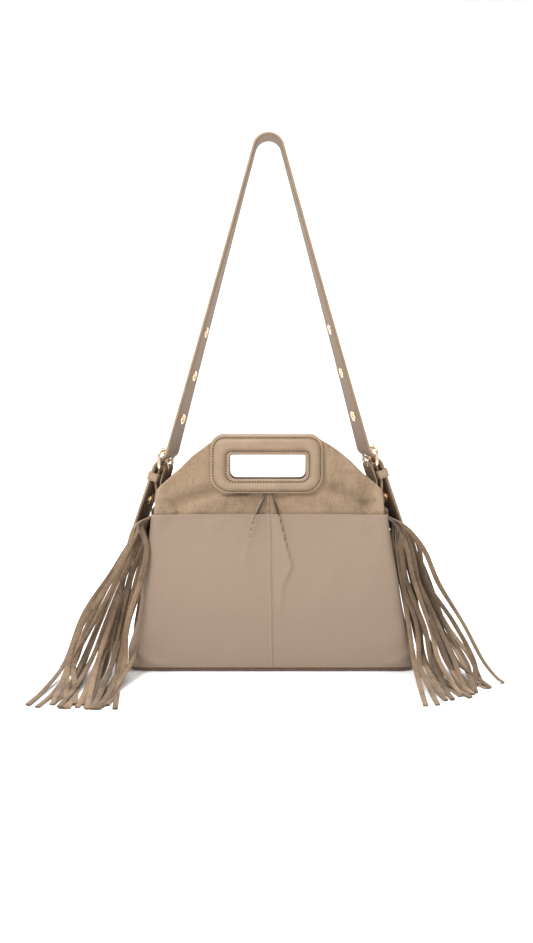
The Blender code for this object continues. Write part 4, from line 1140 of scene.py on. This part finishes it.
class BAG_OT_hardware(bpy.types.Operator):
    """Make the eyelets, buckle frames and prongs, and finish the magnetic snap"""
    bl_idname = "fringed_bag.hardware"
    bl_label = "Metal parts"

    def execute(self, context):
        for side in (-1, 1):
            for number in range(1, 6):
                self.eyelet(side, number)
            self.buckle_frame(side)
            self.prong(side)
        for name in ("snap_socket_front", "snap_stud_back"):
            finish_node(name, gold())
        return {"FINISHED"}

    def eyelet(self, side, number):
        """A domed flange on each face, joined by the barrel: a closed profile turned about its axis."""
        turn = np.radians(np.linspace(0, 180, 9))
        seat, bead = STRAP_THICKNESS / 2 + 0.0002, 0.0013
        upper = np.column_stack([0.0046 + bead * np.cos(turn), seat + 0.0008 * np.sin(turn)])
        lower = np.column_stack([upper[::-1, 0], -upper[::-1, 1]])
        profile = np.vstack([upper, [[0.0031, seat * 0.6], [0.0031, -seat * 0.6]], lower,
                             [[0.0037, -seat], [0.0037, seat]]])
        ring = revolve(profile, 40)
        centre, along, normal = strap_axes(side, crossing_length(side) - (number - 2) * EYELET_PITCH)
        across = np.cross(along, normal)
        points = centre[0] + ring[..., 0:1] * across[0] + ring[..., 1:2] * along[0] + ring[..., 2:3] * normal[0]
        name = f"{SIDES[side]}_{number}"
        add_piece("eyelet_ring_" + name, points, [grid_cells(*ring.shape[:2], True, True)], [gold()],
                  replaces=["eyelet_" + name], sharp=60)

    def buckle_frame(self, side):
        """A flattened wire carried round a rounded rectangle."""
        outline, ways = rounded_outline((2 * BUCKLE_HALF_WIDTH, 2 * BUCKLE_HALF_HEIGHT), (0.0, 0.0),
                                        BUCKLE_CORNER, BUCKLE_CORNER, 10, 6)
        path = buckle_points(side, np.zeros(len(outline)), outline[:, 0], outline[:, 1])
        origin = buckle_points(side, 0.0, 0.0, 0.0)
        first = buckle_points(side, np.zeros(len(ways)), ways[:, 0], ways[:, 1]) - origin
        second = np.repeat(twisted_axes(side, STRAP_TWIST)[0], len(path), axis=0)
        vertices, faces = sweep(path, first, second, circle(BAR_RADIUS, 20), closed=True)
        add_piece("buckle_wire_" + SIDES[side], vertices, faces, [gold()], body="buckle_" + SIDES[side],
                  replaces=["buckle_frame_" + SIDES[side]])

    def prong(self, side):
        """A wire curled round the lower bar and run straight to the outer side of the top bar."""
        curl = BAR_RADIUS + 0.0003 + PRONG_RADIUS
        reach = curl + 0.0002
        way = np.array([2 * reach, 2 * BUCKLE_HALF_HEIGHT])
        way /= np.linalg.norm(way)
        leave = math.atan2(way[0], -way[1])
        turn = np.linspace(math.radians(410.0), leave, 28)
        arc = np.column_stack([curl * np.cos(turn), -BUCKLE_HALF_HEIGHT + curl * np.sin(turn)])
        arc_way = np.column_stack([np.sin(turn), -np.cos(turn)])
        run = np.concatenate([np.linspace(0.002, 0.0205, 12), np.linspace(0.0215, 0.0238, 8)])
        straight = arc[-1] + run[:, None] * way
        plane = np.vstack([arc, straight])
        direction = np.vstack([arc_way, np.repeat(way[None, :], len(run), axis=0)])
        tip = np.clip((0.0240 - run) / 0.0030, 0.0, 1.0)
        scale = np.concatenate([np.ones(len(arc)), np.sqrt(1 - (1 - tip)**2)])
        zero = np.zeros(len(plane))
        path = buckle_points(side, plane[:, 0], zero, plane[:, 1])
        origin = buckle_points(side, 0.0, 0.0, 0.0)
        first = np.repeat(twisted_axes(side, STRAP_TWIST)[1], len(path), axis=0)
        second = buckle_points(side, -direction[:, 1], zero, direction[:, 0]) - origin
        vertices, faces = sweep(path, first, second, circle(PRONG_RADIUS, 16), scale=np.maximum(scale, 0.12))
        add_piece("prong_wire_" + SIDES[side], vertices, faces, [gold()], body="prong_" + SIDES[side],
                  replaces=["prong_" + SIDES[side]])


# ---------------------------------------------------------------- tabs and keepers
def tab_middle(side, z):
    """Middle of the folded tab at heights, half the spread of its leaves there, and its twist."""
    z = np.asarray(z, dtype=float)
    bar = buckle_points(side, 0.0, 0.0, -BUCKLE_HALF_HEIGHT)
    seat_z = GUSSET_TOP_Z + 0.002
    gusset_x = lean(z) + side * (smooth_curve(HALF_WIDTH, z) - SUEDE / 2)
    seat_x = lean(seat_z) + side * (smooth_curve(HALF_WIDTH, seat_z) - SUEDE / 2)
    share = np.clip((z - seat_z) / (bar[2] - seat_z), 0.0, 1.0)
    x = np.where(share <= 0.0, gusset_x, seat_x + (bar[0] - seat_x) * share)
    spread_bar = BAR_RADIUS + 0.0003 + TAB_THICKNESS / 2
    spread_gusset = SUEDE / 2 + 0.0006 + TAB_THICKNESS / 2
    spread = spread_gusset + (spread_bar - spread_gusset) * smooth_step(share, 0.0, 0.45)
    twist = STRAP_TWIST * smooth_step(share, 0.0, 0.5)
    return np.stack([x, np.zeros_like(z), z], axis=-1), spread, twist


class BAG_OT_tabs(bpy.types.Operator):
    """Make the folded buckle tabs and the keepers"""
    bl_idname = "fringed_bag.tabs"
    bl_label = "Tabs and keepers"

    def execute(self, context):
        for side in (-1, 1):
            self.tab(side)
            self.keeper(side)
        return {"FINISHED"}

    def tab(self, side):
        """A strip: up the inner leaf, half round the bar, down the outer leaf."""
        bar_z = BUCKLE_Z[side] - BUCKLE_HALF_HEIGHT
        z = np.linspace(0.1735, bar_z, 46)
        middle, spread, twist = tab_middle(side, z)
        outward, along = twisted_axes(side, twist)
        turn = np.linspace(math.pi, 0.0, 25)[1:-1, None]
        up = np.array([[0.0, 0.0, 1.0]])
        radial = np.cos(turn) * outward[-1:] + np.sin(turn) * up
        centre = np.concatenate([middle - outward * spread[:, None], middle[-1:] + radial * spread[-1],
                                 (middle + outward * spread[:, None])[::-1]])
        away = np.concatenate([-outward, radial, outward[::-1]])
        wide = np.concatenate([along, np.repeat(along[-1:], len(turn), axis=0), along[::-1]])
        across = np.concatenate([[-1.0, -0.975], np.linspace(-0.93, 0.93, 27), [0.975, 1.0]])
        edge = np.clip((1 - np.abs(across)) / 0.08, 0.0, 1.0)
        half = TAB_THICKNESS / 2 * (0.4 + 0.6 * np.sqrt(1 - (1 - edge)**2))
        spread_out = (across * TAB_WIDTH / 2)[None, :, None] * wide[:, None, :]
        top = centre[:, None, :] + spread_out + half[None, :, None] * away[:, None, :]
        bottom = centre[:, None, :] + spread_out - half[None, :, None] * away[:, None, :]
        cell_z = (centre[:-1, 2] + centre[1:, 2]) / 2
        cell_v = (across[:-1] + across[1:]) / 2 * TAB_WIDTH / 2
        keep = ~((cell_z > BUCKLE_Z[side] - 0.0155)[:, None] & (np.abs(cell_v) < 0.0024)[None, :])
        vertices, faces = slab(top, bottom, keep)
        kinds = [np.zeros(len(faces[0])), np.ones(len(faces[1])), np.full(len(faces[2]), 2)]
        add_piece("folded_tab_" + SIDES[side], vertices, faces, [leather_back(), leather(), leather_edge()],
                  kinds, replaces=["buckle_tab_" + SIDES[side]], sharp=60)

    def keeper(self, side):
        """A flat band carried round a rounded rectangle that holds the tab's leaf and the strap."""
        tilt = math.radians(17.0)
        up = -0.0190
        z = BUCKLE_Z[side] + up
        middle, spread, _ = tab_middle(side, np.array([z]))
        leaf_out = abs(middle[0, 0] - buckle_centre(side)[0]) / math.cos(STRAP_TWIST) + spread[0]
        breaks, _ = strap_breaks(side)
        length = np.linspace(breaks[4], breaks[6], 400)
        out, height, _ = strap_plane(side, length)
        strap_out = np.interp(-z, -height, out) - strap_plane(side, crossing_length(side))[0]
        low = -(TAB_THICKNESS / 2 + 0.0008) - 0.0006
        high = (strap_out - leaf_out) * math.cos(tilt) + STRAP_THICKNESS / 2 + 0.0012
        half = STRAP_WIDTH / 2 + 0.0010
        outline, ways = rounded_outline((high - low, 2 * half), ((high + low) / 2, 0.0), 0.0016, 0.0016, 8, 8)

        def place(normal, along, axial):
            out_at = leaf_out + normal * math.cos(tilt) + axial * math.sin(tilt)
            return buckle_points(side, out_at, along, up + normal * math.sin(tilt) - axial * math.cos(tilt))

        zero = np.zeros(len(outline))
        path = place(outline[:, 0], outline[:, 1], zero)
        first = place(outline[:, 0] + ways[:, 0], outline[:, 1] + ways[:, 1], zero) - path
        second = place(outline[:, 0], outline[:, 1], zero + 1.0) - path
        vertices, faces = sweep(path, first, second, rounded_bar(0.0012, 0.0090, 0.0005), closed=True)
        add_piece("keeper_band_" + SIDES[side], vertices, faces, [leather()],
                  replaces=["strap_keeper_" + SIDES[side]], sharp=40)
        all_vertices, all_faces, start = [], [[], []], 0
        for axial in (-0.0032, 0.0032):
            keep = outline[:, 0] > low + 0.002
            line = place(outline[keep, 0] + ways[keep, 0] * 0.0006, outline[keep, 1] + ways[keep, 1] * 0.0006,
                         np.full(keep.sum(), axial))
            order = np.argsort(np.arctan2(outline[keep, 1], outline[keep, 0] - low))
            place_at, tangent, _ = along_row(line[order], 0.0020)
            rim = np.cross(tangent, second[0][None, :])
            rim /= np.linalg.norm(rim, axis=1, keepdims=True)
            bead, bead_faces = stitches(place_at, tangent, rim, 0.0015, 0.0005, 0.0005)
            all_vertices.append(bead)
            for k, group in enumerate(bead_faces):
                all_faces[k].append(group + start)
            start += len(bead)
        add_piece("keeper_stitches_" + SIDES[side], np.vstack(all_vertices),
                  [np.vstack(group) for group in all_faces], [tan_thread()], sharp=80)


# ---------------------------------------------------------------- fringe
FRINGE_BULGE = {-1: [(0.1315, 0.1580), (0.1358, 0.1800), (0.1430, 0.2030), (0.1430, 0.2180)],
                1: [(0.1315, 0.1580), (0.1358, 0.1740), (0.1430, 0.1970), (0.1430, 0.2180)]}
FRINGE_TIPS = {-1: [(0.131, 0.236), (0.174, 0.168)], 1: [(0.141, 0.240), (0.174, 0.090)]}


def through(knots, count):
    """Points of a smooth curve through knots: cubic Hermite pieces over chord length, with each
    knot's slope the chord between its neighbours."""
    chord = np.linalg.norm(np.diff(knots, axis=0), axis=1)
    at = np.concatenate([[0.0], np.cumsum(chord)])
    slope = np.empty_like(knots)
    slope[1:-1] = (knots[2:] - knots[:-2]) / (at[2:] - at[:-2])[:, None]
    slope[0] = (knots[1] - knots[0]) / chord[0]
    slope[-1] = (knots[-1] - knots[-2]) / chord[-1]
    fine = np.linspace(0.0, at[-1], count)
    i = np.clip(np.searchsorted(at, fine) - 1, 0, len(chord) - 1)
    h = chord[i][:, None]
    t = ((fine - at[i]) / chord[i])[:, None]
    return ((2 * t**3 - 3 * t**2 + 1) * knots[i] + (t**3 - 2 * t**2 + t) * h * slope[i]
            + (3 * t**2 - 2 * t**3) * knots[i + 1] + (t**3 - t**2) * h * slope[i + 1])


class BAG_OT_fringe(bpy.types.Operator):
    """Make the slit suede strips at both sides"""
    bl_idname = "fringed_bag.fringe"
    bl_label = "Fringe"

    def execute(self, context):
        draw = np.random.default_rng(context.scene.bag_fringe.seed)
        own = context.scene.bag_fringe
        look = suede_look("Fringe suede", own.light, own.dark, 30.0, shade_and_tone=True)
        for side in (-1, 1):
            for layer in (0, 1):
                self.strip(side, layer, draw, look)
        return {"FINISHED"}

    def strip(self, side, layer, draw, look):
        stand = 0.0003 + (STRAND_THICKNESS + 0.0003) * (1 - layer) + STRAND_THICKNESS / 2
        face = lean(FRINGE_ROOT_Z) + side * smooth_curve(HALF_WIDTH, FRINGE_ROOT_Z) + side * stand
        top = lean(FRINGE_TOP_Z) + side * smooth_curve(HALF_WIDTH, FRINGE_TOP_Z) + side * stand
        width = STRANDS * STRAND_PITCH - 0.0003
        path = np.array([[top, 0.0, FRINGE_TOP_Z], [face, 0.0, FRINGE_ROOT_Z - 0.0006]])
        first = np.repeat([[0.0, 1.0, 0.0]], 2, axis=0)
        second = np.repeat([[float(side), 0.0, 0.0]], 2, axis=0)
        vertices, faces = sweep(path, first, second, rounded_bar(width, STRAND_THICKNESS, 0.0003))
        all_vertices, all_faces, strand_shade_and_tone = [vertices], list(faces), [np.ones(len(vertices))]
        start = len(vertices)
        spreads = (draw.permutation(STRANDS) + draw.uniform(0.2, 0.5, STRANDS) + 0.5 * (1 - layer)) / STRANDS
        spreads = spreads if layer == 0 else spreads * 0.92
        for k in range(STRANDS):
            root = np.array([face, (k - (STRANDS - 1) / 2) * STRAND_PITCH, FRINGE_ROOT_Z])
            vertices, faces = self.strand(side, layer, k / (STRANDS - 1), spreads[k], root, draw)
            all_vertices.append(vertices)
            all_faces += [group + start for group in faces]
            # Each strand's colour is scaled by a random draw from 0.50 to 1.35: random strand tone, widened to
            # paint in the shade between the strands.
            strand_shade_and_tone.append(np.full(len(vertices), draw.uniform(0.50, 1.35)))
            start += len(vertices)
        name = "fringe_" + SIDES[side] + ("_inner" if layer else "_outer")
        made = add_piece("slit_" + name, np.vstack(all_vertices), all_faces, [look], replaces=[name],
                         sharp=50)
        set_shade_and_tone(made, np.concatenate(strand_shade_and_tone))

    def strand(self, side, layer, share, spread, root, draw):
        """A ribbon along a smooth curve from the header to its tip on the floor.

        spread, 0 to 1, says how far out it swings. The ribbon leaves the header flat against the bag,
        turns its face forward, and lies flat again on the floor.
        """
        front = max(0.0, 1.0 - share / 0.45) * (1.0, 0.5)[layer]

        def out(low, high):
            return side * (low + (high - low) * spread)

        jitter = draw.uniform(-1.0, 1.0, (7, 3)) * [0.0024, 0.0040, 0.0050]
        bulge = FRINGE_BULGE[side]
        crossing = draw.uniform(0.0, 1.0)
        tip_out, tip_forward = FRINGE_TIPS[side][0], FRINGE_TIPS[side][1]
        reach = 0.72 * spread + 0.28 * crossing
        tip = np.array([side * (tip_out[0] + (tip_out[1] - tip_out[0]) * reach),
                        -(tip_forward[0] + (tip_forward[1] - tip_forward[0]) * reach), 0.0])
        tip[:2] += draw.uniform(-0.007, 0.007, 2)
        tip[1] = max(tip[1], -0.1775)
        tip[0] = side * min(abs(tip[0]), 0.2345)
        height = 0.0010 + 0.0045 * draw.uniform(0.0, 1.0)
        knots = np.array([
            root,
            root + [side * (0.006 + 0.010 * front), -0.003 - 0.014 * front, -0.008],
            [out(*bulge[0]), root[1] - 0.006 - 0.020 * front, 0.132],
            [out(*bulge[1]), root[1] * 0.9 - 0.016 - 0.016 * front, 0.096],
            [out(*bulge[2]), root[1] * 0.7 - 0.036 - 0.018 * front, 0.050],
            [out(*bulge[3]), root[1] * 0.4 - 0.074, 0.018],
            [0.0, 0.0, height],
            tip + [0.0, 0.0, 0.0009 + 0.0012 * draw.uniform(0.0, 1.0)]])
        knots[6, :2] = 0.42 * knots[5, :2] + 0.58 * tip[:2]
        knots[1:7] += jitter[:6] * np.array([0.2, 1.0, 1.4, 1.6, 1.2, 0.4])[:, None]
        path = through(knots, 64)
        path[:, 2] = np.maximum(path[:, 2], 0.0009)
        tangent = np.gradient(path, axis=0)
        tangent /= np.linalg.norm(tangent, axis=1, keepdims=True)
        t = np.linspace(0.0, 1.0, len(path))
        facing = draw.uniform(1.0, 1.6) * smooth_step(t, 0.02, 0.16)
        facing += draw.uniform(-0.6, 0.6) * np.sin(2 * math.pi * t) * smooth_step(t, 0.1, 0.4)
        flat = np.arctan2(-tangent[:, 1], side * tangent[:, 0])
        lying = 1 - smooth_step(path[:, 2], 0.006, 0.034)
        turn = facing + (flat - facing) * lying
        wide = np.column_stack([side * np.sin(turn), np.cos(turn), np.zeros(len(path))])
        wide -= np.einsum("ij,ij->i", wide, tangent)[:, None] * tangent
        wide /= np.linalg.norm(wide, axis=1, keepdims=True)
        away = np.cross(tangent, wide) * side
        return sweep(path, wide, away, rounded_bar(STRAND_WIDTH, STRAND_THICKNESS, 0.0003, 1))


# ---------------------------------------------------------------- stage
class BAG_OT_stage(bpy.types.Operator):
    """Make the floor, the soft lights and the camera"""
    bl_idname = "fringed_bag.stage"
    bl_label = "Stage"

    def execute(self, context):
        own = context.scene.bag_stage
        context.scene.view_settings.view_transform = "Standard"
        self.floor(own.floor)
        self.lights(context)
        lens = bpy.data.cameras.new("camera")
        lens.lens = own.focal_length
        lens.clip_end = 30.0
        camera = bpy.data.objects.new("camera", lens)
        lens.shift_y = own.camera_shift
        camera.location = (-0.0056, -own.camera_distance, own.camera_height)
        camera.rotation_euler = (math.radians(90.0), 0.0, 0.0)
        context.scene.collection.objects.link(camera)
        context.scene.camera = camera
        return {"FINISHED"}

    def floor(self, tint):
        """A level floor that curves up behind: a quarter circle between the floor and the wall."""
        turn = np.radians(np.linspace(0, 90, 24))
        run = np.concatenate([[-4.0, 1.6], 1.6 + 1.2 * np.sin(turn[1:]), [2.8]])
        rise = np.concatenate([[0.0, 0.0], 1.2 * (1 - np.cos(turn[1:])), [5.0]])
        x = np.array([-5.0, 5.0])
        points = np.stack([np.broadcast_to(x[None, :], (len(run), 2)),
                           np.broadcast_to(run[:, None], (len(run), 2)),
                           np.broadcast_to(rise[:, None], (len(run), 2))], axis=2)
        mesh = bpy.data.meshes.new("floor")
        mesh.from_pydata(points.reshape(-1, 3).tolist(), [], grid_cells(len(run), 2)[:, ::-1].tolist())
        mesh.shade_smooth()

        def build(tree, shader):
            shader.inputs["Base Color"].default_value = colour(tint)
            shader.inputs["Roughness"].default_value = 0.9
            shader.inputs["Specular IOR Level"].default_value = 0.1

        mesh.materials.append(material("Pale floor", build))
        made = bpy.data.objects.new("floor", mesh)
        bpy.context.scene.collection.objects.link(made)

    def lights(self, context):
        """A bright even world, a large soft key from the upper left and a weaker fill."""
        world = bpy.data.worlds.new("studio")
        world.use_nodes = True
        world.node_tree.nodes["Background"].inputs["Color"].default_value = (1.0, 1.0, 1.0, 1.0)
        world.node_tree.nodes["Background"].inputs["Strength"].default_value = 0.62
        context.scene.world = world
        for name, place, size, power in (("key", (-1.0, -1.1, 2.0), 0.9, 46.0),
                                         ("fill", (1.6, -1.4, 1.1), 1.6, 5.0),
                                         ("top", (0.1, 0.9, 2.6), 2.2, 110.0)):
            lamp = bpy.data.lights.new(name, "AREA")
            lamp.size = size
            lamp.energy = power
            made = bpy.data.objects.new(name, lamp)
            made.location = place
            aim = np.array([0.0, 0.0, 0.2]) - np.array(place)
            pitch = math.acos(-aim[2] / np.linalg.norm(aim))
            made.rotation_euler = (pitch, 0.0, math.atan2(aim[1], aim[0]) - math.pi / 2)
            context.scene.collection.objects.link(made)


# ---------------------------------------------------------------- add-on
class BAG_PT_panel(bpy.types.Panel):
    """Lists the bag's settings and its operators"""
    bl_idname = "BAG_PT_panel"
    bl_label = "Fringed bag"
    bl_space_type = "VIEW_3D"
    bl_region_type = "UI"
    bl_category = "Bag"

    def draw(self, context):
        for name, group in SETTINGS.items():
            box = self.layout.box()
            box.label(text=group.__doc__)
            for field in group.__annotations__:
                box.prop(getattr(context.scene, name), field)
        for operator in OPERATORS:
            self.layout.operator(operator.bl_idname)


OPERATORS = (BAG_OT_stage, BAG_OT_body, BAG_OT_plates, BAG_OT_strap, BAG_OT_hardware, BAG_OT_tabs,
             BAG_OT_fringe)
CLASSES = (*SETTINGS.values(), *OPERATORS, BAG_PT_panel)


def register():
    for owner in CLASSES:
        bpy.utils.register_class(owner)
    for name, group in SETTINGS.items():
        setattr(bpy.types.Scene, name, PointerProperty(type=group))


def unregister():
    for name in SETTINGS:
        delattr(bpy.types.Scene, name)
    for owner in reversed(CLASSES):
        bpy.utils.unregister_class(owner)


def main():
    register()
    for operator in OPERATORS:
        group, name = operator.bl_idname.split(".")
        getattr(getattr(bpy.ops, group), name)()


if __name__ == "__main__":
    main()
